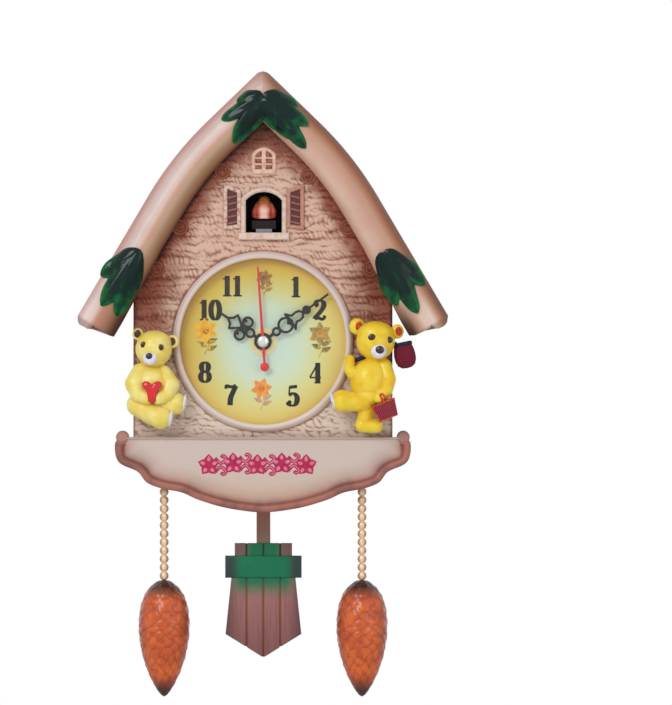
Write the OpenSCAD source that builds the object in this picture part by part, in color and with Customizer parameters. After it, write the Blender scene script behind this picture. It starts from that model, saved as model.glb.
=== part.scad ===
// House-shaped wall clock with a bird window, two hanging cones and a swinging pendulum.
// Every piece is drawn in a front view: x to the right, y up, z forward from the wall.
// front_view() then stands the drawing up, so that +Z is up and the front faces -Y.
// The origin is the hanging point of the keyhole, on the wall plane.

/* [House case] */
// Width of the house front between the outsides of its side walls
wall_w = 172.6; // [168:0.1:178]
// Drop from the hanging point to the underside of the case floor
floor_drop = 206; // [203:0.5:209]
// Depth of the case from the wall plane to the house front
case_d = 42; // [41:0.5:46]
// Thickness of the moulded walls
skin = 2.2; // [1.8:0.1:2.6]
// Thickness of the rear cover
cover_t = 2; // [1.6:0.1:2.4]

/* [Roof] */
// Height of the rounded apex above the hanging point
apex_h = 52; // [50:0.5:56]
// Angle of the upper roof from the vertical
pitch_top = 46; // [45:0.5:47]
// Angle of the lower roof from the vertical
pitch_low = 30.5; // [30:0.5:32]
// Length of the straight upper edge from the apex corner to the bow
ridge_l = 52.4; // [50:0.1:56]
// Radius of the bow along the middle of a log
bow_r = 220; // [216:1:226]
// Length of the straight log below the bow
eave_l = 93; // [88:1:96]
// Width of a roof log
log_w = 26; // [24:0.5:28]
// Forward distance from the house front to the middle of a log
log_rise = 3; // [3:0.5:6]
// Radius of the rounded apex
ridge_r = 7; // [6:0.5:8]
// Distance of the roof boards' back edge from the wall plane
board_back = 4; // [3:0.5:8]

/* [Apron board] */
// Width of the board across its shoulders
apron_w = 196; // [190:1:202]
// Drop from the hanging point to the board's top edge
apron_top = 191.3; // [189:0.1:194]
// Height of the board from its top edge to its lowest point
apron_h = 50.2; // [48:0.1:54]
// Thickness of the board from the house front to its rim
apron_t = 9.5; // [8:0.5:11]
// Width of the raised rim
rim_w = 5.5; // [4:0.5:7]
// Height of the rim above the panel
rim_h = 1.8; // [1:0.2:2.6]

/* [Dial and hands] */
// Drop from the hanging point to the middle of the dial
dial_drop = 127.7; // [126:0.1:129]
// Radius of the dial that shows inside the bezel
dial_view_r = 55.3; // [54.8:0.1:56]
// Width of the bezel ring
bezel_w = 3; // [2.8:0.1:3.4]
// Height of the bezel above the house front
bezel_h = 4.5; // [4.2:0.1:6]
// Length of the minute hand from the middle to its tip
minute_l = 53.6; // [50:0.1:54]
// Length of the hour hand from the middle to its tip
hour_l = 33.4; // [31:0.1:36]
// Length of the second hand from the middle to its tip
second_l = 50.2; // [46:0.1:53]
// Thickness of a hand
hand_t = 0.5; // [0.3:0.05:0.6]
// Angle that the hour hand shows, clockwise from the top
hour_shown = 304; // [0:360]
// Angle that the minute hand shows, clockwise from the top
minute_shown = 54; // [0:360]
// Angle that the second hand shows, clockwise from the top
second_shown = 356; // [0:360]

/* [Movement] */
// Width and height of the movement's case
mov_w = 56; // [56:0.5:60]
// Depth of the movement's case
mov_d = 16.8; // [16.8:0.1:18]
// Wall of the movement's case
mov_wall = 1.5; // [1.2:0.1:1.5]
// Module of the motion work's teeth
motion_m = 0.4; // [0.38:0.01:0.41]
// Centre distance from the dial axis to the third wheel
third_c = 11.475; // [11.3:0.025:11.6]
// Radial running clearance of an arbor or pipe
run_fit = 0.06; // [0.04:0.01:0.08]

/* [Bird window] */
// Width of the window opening
window_w = 25; // [23:0.5:27]
// Height of the window opening to the top of its arch
window_h = 28; // [26:0.5:30]
// Drop from the hanging point to the top of the arch
window_drop = 27.5; // [27:0.5:30]
// Offset of both windows to the right of the middle
window_x = 0.6; // [0:0.1:1]
// Travel of the bird out of the window
bird_travel = 12; // [8:0.5:13]

/* [Pendulum] */
// Drop from the middle of the dial to the pendulum's pivot
pivot_gap = 32.3; // [31.3:0.1:33.3]
// Width of the pendulum rod
rod_w = 9.7; // [8:0.1:11]
// Thickness of the pendulum rod
rod_t = 2.8; // [2:0.1:3]
// Distance from the movement's back to the middle of the rod
rod_gap = 10.8; // [10.4:0.1:11]
// Drop from the hanging point to the top of the bob
bob_drop = 262.7; // [258:0.5:268]
// Height of the bob from its top block to its point
bob_h = 76.9; // [72:0.5:82]
// Width of the bob's cross band
band_w = 51.4; // [46:0.2:54]
// Thickness of the bob
bob_t = 7; // [6:0.5:7]

/* [Chains and cones] */
// Sideways distance from the middle to each chain
chain_x = 66; // [62:0.5:68]
// Forward distance from the wall plane to each chain
chain_f = 34.5; // [33.5:0.5:36]
// Diameter of a chain bead
bead_d = 6.1; // [5.8:0.1:6.4]
// Spacing of the beads
bead_pitch = 5.6; // [5.2:0.1:5.7]
// Number of beads on a chain
bead_n = 13; // [11:15]
// Height of a cone
cone_h = 78; // [72:0.5:84]
// Greatest diameter of a cone
cone_d = 34.7; // [32:0.1:36]

/* [Bears] */
// Sideways place of the seated bear's head, left of the middle
left_bear_x = 72.5; // [72:0.1:74]
// Drop from the hanging point to the seated bear's head
left_bear_drop = 132.2; // [131:0.1:134]
// Sideways place of the standing bear's head, right of the middle
right_bear_x = 75; // [74.5:0.1:76]
// Drop from the hanging point to the standing bear's head
right_bear_drop = 126.8; // [126:0.1:128]

/* [Hidden] */
$fn = 48;

// Small overlap that joins shapes inside one piece
eps = 0.02;
// Clearance between the case and the roof boards that cover it
roof_gap = 0.3;
// Clearance around a lid, slider or loose fitting
slip = 0.3;
// Clearance between a fixed pin and the hole that holds it
press_gap = 0.02;

log_r = log_w / 2;
log_f = case_d + log_rise;
ridge_corner = apex_h - ridge_r + ridge_r / sin(pitch_top);
bow_start = [ridge_l * sin(pitch_top), ridge_corner - ridge_l * cos(pitch_top)];
bow_c = bow_start - (bow_r + log_r) * [cos(pitch_top), sin(pitch_top)];
bow_steps = 8;
case_r = bow_r + log_r - skin - roof_gap;
case_top = apex_h - 2 * ridge_r - roof_gap;

// Stands a front-view drawing up in the part's frame
module front_view() {
  rotate([90, 0, 0]) children();
}

// Turns a shape drawn along z so that its axis points up in the front view
module upright() {
  rotate([-90, 0, 0]) children();
}

// Mirrored pair of a shape drawn on the right
module both_sides() {
  children();
  mirror([1, 0, 0]) children();
}

module at_dial() {
  translate([0, -dial_drop, 0]) children();
}

// Outline of the case, drawn in by inset all round
function case_right(inset) = let(
    half = wall_w / 2 - inset,
    r = case_r - inset,
    low = bow_c + r * [cos(pitch_low), sin(pitch_low)],
    down = (half - low[0]) / sin(pitch_low),
    high = bow_c + r * [cos(pitch_top), sin(pitch_top)],
    up = (case_top - inset - high[1]) / cos(pitch_top))
  concat([[half, inset - floor_drop], low + down * [sin(pitch_low), -cos(pitch_low)]],
    [for (i = [0:bow_steps]) let(a = pitch_low + (pitch_top - pitch_low) * i / bow_steps)
      bow_c + r * [cos(a), sin(a)]],
    [high + up * [-sin(pitch_top), cos(pitch_top)]]);

function mirrored(points) = [for (i = [len(points) - 1:-1:0]) [-points[i][0], points[i][1]]];

function case_outline(inset) = concat(case_right(inset), mirrored(case_right(inset)));

// Keeps what lies right of the middle
module right_half() {
  intersection() {
    children();
    translate([0, -250, -5]) cube([200, 350, 90]);
  }
}

module at_bow(angle) {
  translate([bow_c[0], bow_c[1], 0]) rotate([0, 0, angle]) children();
}

arc_n = 20;

// Half circle over the middle of a log, as (distance from the bow's centre, forward)
function log_arc(r) = [for (i = [0:arc_n]) let(a = 180 * i / arc_n)
  [bow_r + r * cos(a), log_f + r * sin(a)]];

function backwards(points) = [for (i = [len(points) - 1:-1:0]) points[i]];

// Section of a hollow log with its roof board, thinner by thin all round
function log_section(thin) = concat(log_arc(log_r - thin),
  [[bow_r - log_r + thin, case_d + thin], [bow_r - log_r + skin - thin, case_d + thin]],
  backwards(log_arc(log_r - skin + thin)),
  [[bow_r + log_r - skin + thin, board_back + thin], [bow_r + log_r - thin, board_back + thin]]);

// The straight runs are this much thinner than the bow, and reach this far into it
joint_thin = 0.01;
joint_lap = 0.3;

// Straight run of a section, between two places along the slope at the given angle
module straight_run(angle, low, high) {
  at_bow(angle) translate([0, high, 0]) rotate([90, 0, 0]) linear_extrude(high - low) children();
}

module roof_log() {
  at_bow(pitch_low) rotate_extrude(angle = pitch_top - pitch_low, $fn = 180)
    polygon(log_section(0));
  straight_run(pitch_low, -eave_l, joint_lap) polygon(log_section(joint_thin));
  straight_run(pitch_top, -joint_lap, ridge_l + 1) polygon(log_section(joint_thin));
  straight_run(pitch_low, -eave_l, skin - eave_l)
    polygon(concat(log_arc(log_r), [[bow_r - log_r, case_d], [bow_r + log_r, case_d]]));
}

// Round bar that a log's half-round front lies in, grown by grow
module log_bar(grow) {
  at_bow(pitch_low) rotate_extrude(angle = pitch_top - pitch_low, $fn = 180)
    translate([bow_r, log_f]) circle(log_r + grow);
  straight_run(pitch_low, -eave_l, 0) translate([bow_r, log_f]) circle(log_r + grow);
  straight_run(pitch_top, 0, ridge_l + 1) translate([bow_r, log_f]) circle(log_r + grow);
}

// Removes the sharp corner outside the rounded apex
module apex_cutter() {
  half = ridge_r * cos(pitch_top);
  difference() {
    translate([-half, ridge_corner - ridge_r / sin(pitch_top) + ridge_r * sin(pitch_top), 0])
      cube([2 * half, 2 * ridge_r, log_f + log_w]);
    translate([0, apex_h - ridge_r, -1]) cylinder(r = ridge_r, h = log_f + log_w + 2);
  }
}

module roof_moulding() {
  color("tan") front_view() difference() {
    union() {
      both_sides() right_half() roof_log();
      translate([0, apex_h - ridge_r, board_back])
        cylinder(r = ridge_r - 0.1, h = log_f + 3 - board_back);
    }
    apex_cutter();
  }
}

// House front
bezel_r = dial_view_r + bezel_w;
ring_r = bezel_r + 1.9;
ring_in = ring_r - 2.3;
ring_back = case_d - 3.4;
lip_back = case_d + bezel_h - 2;

module bezel_ring() {
  rotate_extrude($fn = 120) polygon([[ring_in, ring_back], [ring_r, ring_back], [ring_r, case_d],
    [ring_r - 0.6, case_d + bezel_h / 3], [bezel_r + 0.3, case_d + 0.8 * bezel_h],
    [bezel_r - 0.7, case_d + bezel_h - 0.1], [dial_view_r + 1.1, case_d + bezel_h],
    [dial_view_r + 0.2, case_d + bezel_h - 0.5], [dial_view_r, case_d + bezel_h - 1.1],
    [dial_view_r, lip_back], [ring_in, lip_back]]);
}

window_rise = 5.2;
window_spring = window_drop + window_rise;
window_sill = window_drop + window_h;
frame_w = 1.6;
frame_h = 3;
sill_h = 3.8;

arch_n = 16;

// Arched outline, grown by grow on every side but the bottom
module arch(w, drop, h, rise, grow) {
  half = w / 2 + grow;
  top = rise + grow;
  r = (half * half + top * top) / (2 * top);
  turn = asin(half / r);
  polygon(concat([[-half, -drop - h], [half, -drop - h]], [for (i = [0:arch_n])
    let(a = turn - 2 * turn * i / arch_n) [r * sin(a), grow - drop - r + r * cos(a)]]));
}

module window_frame() {
  translate([0, 0, case_d - 1]) linear_extrude(frame_h + 1)
    arch(window_w, window_drop, window_h, window_rise, frame_w);
  translate([-17, -window_sill - sill_h, case_d - 1]) cube([34, sill_h, frame_h + 2.5]);
}

shutter_w = 12.3;
shutter_in = 14.6;

// Open shutter in relief with four louvre slots
module shutter() {
  difference() {
    translate([0, 0, case_d - 1]) linear_extrude(3.2) polygon([[shutter_in, -26.5],
      [shutter_in + shutter_w, -22.3], [shutter_in + shutter_w, -53.5], [shutter_in, -52]]);
    for (i = [0:3]) translate([shutter_in + 2.5, -34.2 - 5.2 * i, case_d + 1])
      rotate([0, 0, 12]) cube([shutter_w - 5, 2.4, 2]);
  }
}

attic_w = 16;
attic_drop = -2.7;
attic_h = 18;
attic_rise = 5;

// Blind attic window in relief with two by three panes
module attic_window() {
  difference() {
    translate([0, 0, case_d - 1]) linear_extrude(2.8)
      arch(attic_w, attic_drop, attic_h, attic_rise, 0);
    for (row = [0:2], side = [-1, 1])
      translate([side * 3.3 - 2, -attic_drop - attic_h + 2.2 + 4.6 * row, case_d + 0.6])
        cube([4, row == 2 ? 2.8 : 3.4, 2]);
  }
}

// Ends of the wall logs that show beside the roof
log_ends = [[26.7, -12], [56, -50.7], [71.3, -78.7]];
log_end_r = 5.6;
log_end_h = 1.2;

// Right half of the front that the roof logs leave bare
function bare_front() = let(
    r = bow_r - log_r - roof_gap,
    low = bow_c + r * [cos(pitch_low), sin(pitch_low)],
    high = bow_c + r * [cos(pitch_top), sin(pitch_top)])
  concat([[0, low[1] - eave_l], low + eave_l * [sin(pitch_low), -cos(pitch_low)]],
    [for (i = [0:bow_steps]) let(a = pitch_low + (pitch_top - pitch_low) * i / bow_steps)
      bow_c + r * [cos(a), sin(a)]],
    [high + high[0] / sin(pitch_top) * [-sin(pitch_top), cos(pitch_top)]]);

screw_spots = [[0, 27], [79, -66], [-79, -66], [79, -199], [-79, -199]];
boss_r = 3.6;
screw_r = 1.3;
screw_l = 12;

rod_slot_w = 22;
rod_slot_d = 7.5;
hook_shank_r = 1;

module front_case() {
  color("rosybrown") front_view() difference() {
    union() {
      difference() {
        translate([0, 0, cover_t]) linear_extrude(case_d - cover_t) polygon(case_outline(0));
        translate([0, 0, -1]) linear_extrude(case_d - skin + 1) polygon(case_outline(skin));
      }
      at_dial() bezel_ring();
      translate([window_x, 0, 0]) {
        window_frame();
        both_sides() shutter();
        attic_window();
      }
      both_sides() translate([0, 0, case_d - 1]) linear_extrude(log_end_h + 1) intersection() {
        union() for (p = log_ends) translate(p) circle(log_end_r);
        polygon(bare_front());
      }
      for (p = screw_spots) translate([p[0], p[1], cover_t])
        cylinder(r = boss_r, h = case_d - skin - cover_t + eps);
    }
    at_dial() translate([0, 0, ring_back - 1]) cylinder(r = ring_in, h = lip_back - ring_back + 1,
      $fn = 120);
    translate([window_x, 0, case_d - skin - 1]) linear_extrude(skin + frame_h + 2)
      arch(window_w, window_drop, window_h, window_rise, 0);
    for (p = screw_spots) translate([p[0], p[1], cover_t - 1])
      cylinder(r = screw_r + press_gap, h = screw_l + 2);
    translate([-rod_slot_w / 2, -floor_drop - 1, rod_f - rod_slot_d / 2])
      cube([rod_slot_w, skin + 2, rod_slot_d]);
    both_sides() translate([chain_x, -floor_drop - 1, chain_f]) upright()
      cylinder(r = hook_shank_r + press_gap, h = skin + 2);
  }
}

// Rear cover
access_w = 60;
access_h = 54;
key_r = 4.5;
key_slot = 4;
key_drop = 8;
tray_x = 38;
tray_w = 34;
tray_drop = 108;
tray_h = 57;
tray_wall = 1.5;
tray_d = 17.2;
door_w = 28;
door_h = 50;
speaker_at = [-58, -140];
speaker_r = 20;
chime_at = [-62, -85];
chime_w = 34;
chime_h = 28;
chime_f = 6;
switch_travel = 4;
switch_w = 3;
switch_slot_h = 2.8;

module rear_cover() {
  color("saddlebrown") front_view() {
    difference() {
      linear_extrude(cover_t) polygon(case_outline(0));
      translate([-access_w / 2, -dial_drop + mov_w / 2 - access_h + 1, -1])
        cube([access_w, access_h, cover_t + 2]);
      translate([0, -key_drop, -1]) cylinder(r = key_r, h = cover_t + 2);
      translate([0, 0, -1]) cylinder(r = key_slot / 2, h = cover_t + 2);
      translate([-key_slot / 2, -key_drop, -1]) cube([key_slot, key_drop, cover_t + 2]);
      for (p = screw_spots) translate([p[0], p[1], -1]) {
        cylinder(r = screw_r + 0.15, h = cover_t + 2);
        cylinder(r1 = 3.75, r2 = screw_r + 0.15, h = 2.5);
      }
      translate([tray_x + (tray_w - door_w) / 2, -tray_drop - tray_h + (tray_h - door_h) / 2, -1])
        cube([door_w, door_h, cover_t + 2]);
      translate([speaker_at[0], speaker_at[1], -1]) {
        for (ring = [1:3], i = [0:6 * ring - 1]) rotate([0, 0, 60 * i / ring])
          translate([4.4 * ring, 0, 0]) cylinder(r = 1.1, h = cover_t + 2, $fn = 16);
        cylinder(r = 1.1, h = cover_t + 2, $fn = 16);
      }
      translate([chime_at[0] - (switch_travel + switch_w) / 2 - slip,
        chime_at[1] - switch_slot_h / 2 - slip, -1])
        cube([switch_travel + switch_w + 2 * slip, switch_slot_h + 2 * slip, cover_t + 2]);
    }
    for (side = [-1, 1]) translate([chime_at[0] + side * (chime_w / 2 - 3), chime_at[1], 0])
      translate([0, 0, cover_t - eps]) cylinder(r = 2.4, h = chime_f - cover_t + eps);
  }
}

module rear_cover_screws() {
  color("silver") front_view() for (p = screw_spots) translate([p[0], p[1], 0]) difference() {
    union() {
      cylinder(r1 = 2.6, r2 = screw_r, h = 1.3);
      cylinder(r = screw_r, h = screw_l);
    }
    for (turn = [0, 90]) rotate([0, 0, turn]) translate([-1.6, -0.3, -1]) cube([3.2, 0.6, 1.8]);
  }
}

// Apron board
apron_half = apron_w / 2;

// Right half of the board's edge, from the top shoulder to the lowest point
apron_knots = [[0.94, 0], [1, -0.06], [1, -0.24], [0.962, -0.36], [0.85, -0.46],
  [0.79, -0.6], [0.69, -0.68], [0.55, -0.735], [0.44, -0.83], [0.27, -0.93], [0.1, -0.985],
  [0, -1]];

function knot(i) = apron_knots[min(max(i, 0), len(apron_knots) - 1)];

function smooth_point(i, t) = 0.5 * (2 * knot(i) + (knot(i + 1) - knot(i - 1)) * t
  + (2 * knot(i - 1) - 5 * knot(i) + 4 * knot(i + 1) - knot(i + 2)) * t * t
  + (3 * knot(i) - knot(i - 1) - 3 * knot(i + 1) + knot(i + 2)) * t * t * t);

apron_right = [for (i = [0:len(apron_knots) - 2], t = [0:0.25:0.75]) let(p = smooth_point(i, t))
  [p[0] * apron_half, p[1] * apron_h - apron_top]];

function apron_outline() = concat(apron_right, [[0, -apron_h - apron_top]], mirrored(apron_right));

module base_board() {
  panel_t = apron_t - rim_h;
  color("rosybrown") front_view() translate([0, 0, case_d]) difference() {
    union() {
      linear_extrude(apron_t) polygon(apron_outline());
      for (side = [-1, 1]) translate([side * (apron_half - 4.6), -apron_top, 0])
        cylinder(r = 4.4, h = apron_t);
    }
    translate([0, 0, panel_t]) linear_extrude(rim_h + 1) offset(-rim_w) polygon(apron_outline());
    translate([0, 0, -1]) linear_extrude(panel_t - skin + 1) offset(-skin - 0.6)
      polygon(apron_outline());
  }
}

// Leaf outline from its stem to its tip, with rounded shoulders
module leaf(stem, tip, w) {
  l = norm(tip - stem);
  turn = atan2(tip[1] - stem[1], tip[0] - stem[0]);
  steps = 8;
  side = [for (i = [0:steps]) [l * i / steps, w / 2 * pow(sin(180 * pow(i / steps, 0.85)), 0.75)]];
  translate(stem) rotate(turn) polygon(concat(side,
    [for (i = [steps - 1:-1:1]) [side[i][0], -side[i][1]]]));
}

leaf_top = 3;

// Cluster of leaves lying on the roof logs
module leaf_cluster(leaves) {
  front_view() difference() {
    union() for (i = [0:len(leaves) - 1])
      translate([0, 0, log_f + log_r - 7]) linear_extrude(7 + leaf_top - 0.5 * (i % 3))
        leaf(leaves[i][0], leaves[i][1], leaves[i][2]);
    both_sides() right_half() log_bar(0.05);
    translate([-30, -30, 0]) cube([60, 80, case_d + 0.3]);
  }
}

module apex_leaves() {
  color("darkgreen") leaf_cluster([[[0.5, 35], [-17.5, 32], 9], [[-2, 33], [-27.5, 19.5], 8.5],
    [[-3, 31], [-19.2, 3.8], 9], [[0.5, 34], [-8.5, 12.5], 9.5], [[0, 36], [23, 29], 10],
    [[4, 33], [30.5, 16], 10], [[4, 32], [28.4, 0.5], 10], [[3, 32], [19, 6.5], 9],
    [[0.5, 34], [8.8, 13], 8]]);
}

module left_leaves() {
  color("darkgreen") leaf_cluster([[[-80, -68], [-108, -84], 13], [[-81, -69], [-107.5, -104], 13],
    [[-82, -68], [-97, -111], 12]]);
}

module right_leaves() {
  color("darkgreen") leaf_cluster([[[80, -68], [108, -90], 13], [[80, -69], [103, -109], 13],
    [[79, -68], [89, -104], 12]]);
}

// Rounded limb between two points given as [x, y, forward]
module limb(a, ra, b, rb) {
  hull() {
    translate(a) sphere(ra, $fn = 18);
    translate(b) sphere(rb, $fn = 18);
  }
}

// Egg-shaped body part with its own half sizes
module egg(at, size) {
  translate(at) resize(2 * size) sphere(size[0], $fn = 26);
}

// Keeps a figure in front of the house front, and clear of the bezel where it crosses it
module figure_trim(at_bezel) {
  intersection() {
    children();
    difference() {
      translate([-130, -230, case_d]) cube([260, 150, 40]);
      if (at_bezel) at_dial() cylinder(r = ring_r + slip, h = case_d + bezel_h + slip, $fn = 90);
    }
  }
}

// Clearance between a figure and what it holds
touch_gap = 0.1;
bear_f = case_d + 11;
chest_f = 10.4;

module left_arms(grow) {
  limb([-10.5, -16.5, 2], 5 + grow, [-14, -27, 4], 5.4 + grow);
  limb([-14, -27, 4], 5.4 + grow, [-4.6, -33, 8], 3.8 + grow);
  limb([9.5, -16.5, 2], 5 + grow, [12.4, -27, 4], 5.2 + grow);
  limb([12.4, -27, 4], 5.2 + grow, [3.6, -33, 8], 3.8 + grow);
}

module left_bear() {
  color("khaki") front_view() figure_trim(true) translate([-left_bear_x, -left_bear_drop, bear_f]) {
    egg([0, 0, 0], [12.4, 12.6, 11.5]);
    egg([-11.4, 9.2, -2], [3.9, 4.1, 2.2]);
    egg([12.8, 4.2, -2], [4.4, 4.5, 2.2]);
    egg([-2.2, -6.6, 9.2], [4.9, 4.5, 4]);
    egg([-1.2, -23.8, -1], [14.2, 14.4, chest_f + 1]);
    left_arms(0);
    limb([-11, -38, 0], 7.4, [5.4, -45.6, 3], 7.8);
    limb([6, -36.6, 0], 6.6, [15, -36.6, 1.5], 7.4);
  }
}

heart_t = 3;
heart_w = 13;
heart_h = 15;
heart_steps = 32;

// Heart held in front of the chest, hollowed where the hands close on it
module left_bear_heart() {
  color("crimson") front_view() translate([-left_bear_x, -left_bear_drop, bear_f]) difference() {
    translate([-1, -28.4, chest_f]) linear_extrude(heart_t)
      polygon([for (i = [0:heart_steps - 1]) let(a = 360 * (i + 0.5) / heart_steps)
        [heart_w / 2 * pow(abs(sin(a)), 3) * sign(sin(a)),
          heart_h / 29 * (13 * cos(a) - 5 * cos(2 * a) - 2 * cos(3 * a) - cos(4 * a))]]);
    left_arms(touch_gap);
  }
}

stick_r = 1.4;
stick_lean = 22;
stick_l = 42;

// Stick over the standing bear's shoulder, grown by grow
module bundle_stick(grow) {
  translate([0, 0, -4]) rotate([0, 0, stick_lean]) translate([-20.5, -7.4, 0]) rotate([0, 90, 0])
    cylinder(r = stick_r + grow, h = stick_l, $fn = 24);
}

module basket_arm(grow) {
  limb([11, -31, 4], 4.8 + grow, [2.4, -38.6, 9], 3.7 + grow);
}

module right_belly(grow) {
  egg([-2.2, -28, -1], [14.6 + grow, 17.4 + grow, 11.6 + grow]);
}

module right_bear() {
  color("gold") front_view() figure_trim(true) translate([right_bear_x, -right_bear_drop, bear_f])
    difference() {
      union() {
        egg([0, 0, 0], [13.3, 13.2, 11.5]);
        egg([-12.4, 9.2, -2], [5.2, 5.6, 2.4]);
        egg([14.6, 5.8, -2], [4.4, 4.7, 2.4]);
        egg([2.2, -7, 9.2], [5.3, 5, 4]);
        right_belly(0);
        limb([-10, -22, 0], 4.4, [-18.4, -19.6, 2], 3.6);
        limb([-18.4, -19.6, 2], 3.6, [-17.8, -12.6, -2], 3.3);
        limb([8.5, -19, 2], 5, [11, -31, 4], 4.8);
        basket_arm(0);
        limb([-8, -40, 2], 7, [-24, -40.2, 4], 6.6);
        limb([-6.4, -44, 0], 5.4, [-7.6, -54.6, 1], 5);
        limb([-8.6, -55.8, 2], 5.3, [0.4, -57.2, 2], 4.4);
      }
      bundle_stick(press_gap);
    }
}

basket_lean = 22;
basket_w = 15.2;
basket_h = 9.8;
basket_d = 9;
basket_wall = 1.2;
handle_h = 8.4;

module right_bear_basket() {
  half = basket_w / 2;
  color("brown") front_view() translate([right_bear_x, -right_bear_drop, bear_f]) difference() {
    translate([6.7, -46.4, 9.4]) rotate([0, 0, basket_lean]) {
      difference() {
        linear_extrude(basket_d, center = true) polygon([[-half, basket_h / 2], [half, basket_h / 2],
          [half - 1.4, -basket_h / 2], [1.4 - half, -basket_h / 2]]);
        translate([1.4 + basket_wall - half, basket_wall - basket_h / 2, basket_wall - basket_d / 2])
          cube([basket_w - 2.8 - 2 * basket_wall, basket_h, basket_d - 2 * basket_wall]);
      }
      for (side = [-1, 1])
        translate([0, basket_h / 2 - 0.2, side * (basket_d - basket_wall) / 2 - basket_wall / 2])
          linear_extrude(basket_wall) polygon([[-half, 0], [basket_wall - half, 0],
            [-1.2, handle_h - 1.4], [1.2, handle_h - 1.4], [half - basket_wall, 0], [half, 0],
            [2, handle_h], [-2, handle_h]]);
      translate([-2, basket_h / 2 + handle_h - 1.6, -basket_d / 2]) cube([4, 1.4, basket_d]);
    }
    basket_arm(touch_gap);
    right_belly(touch_gap);
  }
}

module right_bear_bundle() {
  color("maroon") front_view() translate([right_bear_x, -right_bear_drop, bear_f]) {
    bundle_stick(0);
    translate([19.4, -11, -4]) resize([14.4, 15, 11]) sphere(7, $fn = 26);
    translate([18.6, -3.6, -4]) rotate([0, 0, stick_lean]) resize([12, 5, 10]) sphere(6, $fn = 26);
  }
}

// Dial stack, all measured forward from the wall plane
dial_t = 0.8;
dial_f = ring_back - dial_t;
mov_front = dial_f;
mov_back = mov_front - mov_d;
bush_r = 4;
hour_pipe_r = 2.2;
minute_pipe_r = 1.3;
arbor_r = 0.5;
washer_t = 0.4;
nut_t = 1.6;
nut_front = ring_back + washer_t + nut_t;
hour_f = nut_front + 0.5;
minute_f = hour_f + hand_t + 0.6;
second_f = minute_f + hand_t + 0.6;

module dial_plate() {
  color("khaki") front_view() at_dial() translate([0, 0, dial_f]) difference() {
    cylinder(r = ring_r - 0.6, h = dial_t, $fn = 120);
    translate([0, 0, -1]) cylinder(r = bush_r + 0.1, h = dial_t + 2);
  }
}

lens_sag = 6;
lens_t = 1.2;
lens_edge = dial_view_r - slip;
lens_r = (lens_edge * lens_edge + lens_sag * lens_sag) / (2 * lens_sag);

function dome(r, top, edge, steps) = [for (i = [0:steps]) let(x = edge * i / steps)
  [x, top - r + sqrt(r * r - x * x)]];

module dial_lens() {
  top = lip_back + lens_sag;
  color("aliceblue", 0.3) front_view() at_dial() rotate_extrude($fn = 120) {
    outer = dome(lens_r, top, lens_edge, 14);
    inner = dome(lens_r - lens_t, top - lens_t, lens_edge, 14);
    polygon(concat(outer, [[lens_edge, lip_back], [ring_in - 0.2, lip_back],
      [ring_in - 0.2, lip_back - lens_t]], [for (i = [14:-1:0]) inner[i]]));
  }
}

module dial_washer() {
  color("gold") front_view() at_dial() translate([0, 0, ring_back]) difference() {
    cylinder(r = 9.4, h = washer_t);
    translate([0, 0, -1]) cylinder(r = bush_r + 0.1, h = washer_t + 2);
  }
}

module dial_nut() {
  color("gold") front_view() at_dial() translate([0, 0, ring_back + washer_t]) difference() {
    cylinder(r = 5.6, h = nut_t, $fn = 6);
    translate([0, 0, -1]) cylinder(r = bush_r + press_gap, h = nut_t + 2);
  }
}

// Line of a given width through a list of points, with round joints
module stroke(points, w) {
  for (i = [0:len(points) - 2]) let(d = points[i + 1] - points[i])
    translate(points[i]) rotate(atan2(d[1], d[0])) translate([0, -w / 2]) square([norm(d), w]);
  for (p = points) translate(p) circle(w / 2 + 0.03, $fn = 12);
}

module ring(at, r, w) {
  translate(at) difference() {
    circle(r);
    circle(r - w);
  }
}

module both_flanks() {
  children();
  mirror([1, 0]) children();
}

hub_r = 5.6;
stroke_w = 1.1;

module hour_hand() {
  reach = hour_l - 27.5;
  color("black") front_view() at_dial() rotate([0, 0, -hour_shown]) translate([0, 0, hour_f])
    linear_extrude(hand_t) difference() {
      union() {
        circle(hub_r);
        ring([0, 10.3], 3.2, stroke_w);
        translate([0, 6.5]) square([1.6, 3], center = true);
        both_flanks() {
          ring([5, 15.5], 3.7, stroke_w);
          translate([5, 17.4]) circle(1);
          stroke([[0.3, 13.3], [1.9, 14.6]], stroke_w);
          stroke([[0.7, 16.4], [2.2, 18.2]], stroke_w);
          stroke([[0.3, 17.1], [5.2, 23.6], [2.2, 25], [0.4, 27.5]], stroke_w);
        }
        stroke([[0, 13.2], [0, 17.6]], stroke_w);
        translate([-0.6, 27]) square([1.2, reach + 0.5]);
      }
      circle(hour_pipe_r + press_gap);
    }
}

module minute_hand() {
  color("black") front_view() at_dial() rotate([0, 0, -minute_shown]) translate([0, 0, minute_f])
    linear_extrude(hand_t) difference() {
      union() {
        circle(hub_r);
        translate([0, 7]) square([1.6, 4], center = true);
        ring([0, 11.2], 2.9, stroke_w);
        ring([0, 18.7], 5.3, stroke_w);
        polygon([[-3, 22.4], [0, 20], [3, 22.4], [0, 24.4]]);
        both_flanks() stroke([[0.3, 23.3], [6, 22.6], [4, 24.2], [2.6, 26], [3, 28.6], [2.5, 31.2],
          [0.3, 33]], stroke_w);
        translate([0, 35.9]) circle(2.7);
        translate([-0.55, 33]) square([1.1, minute_l - 33]);
      }
      circle(minute_pipe_r + press_gap);
    }
}

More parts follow.
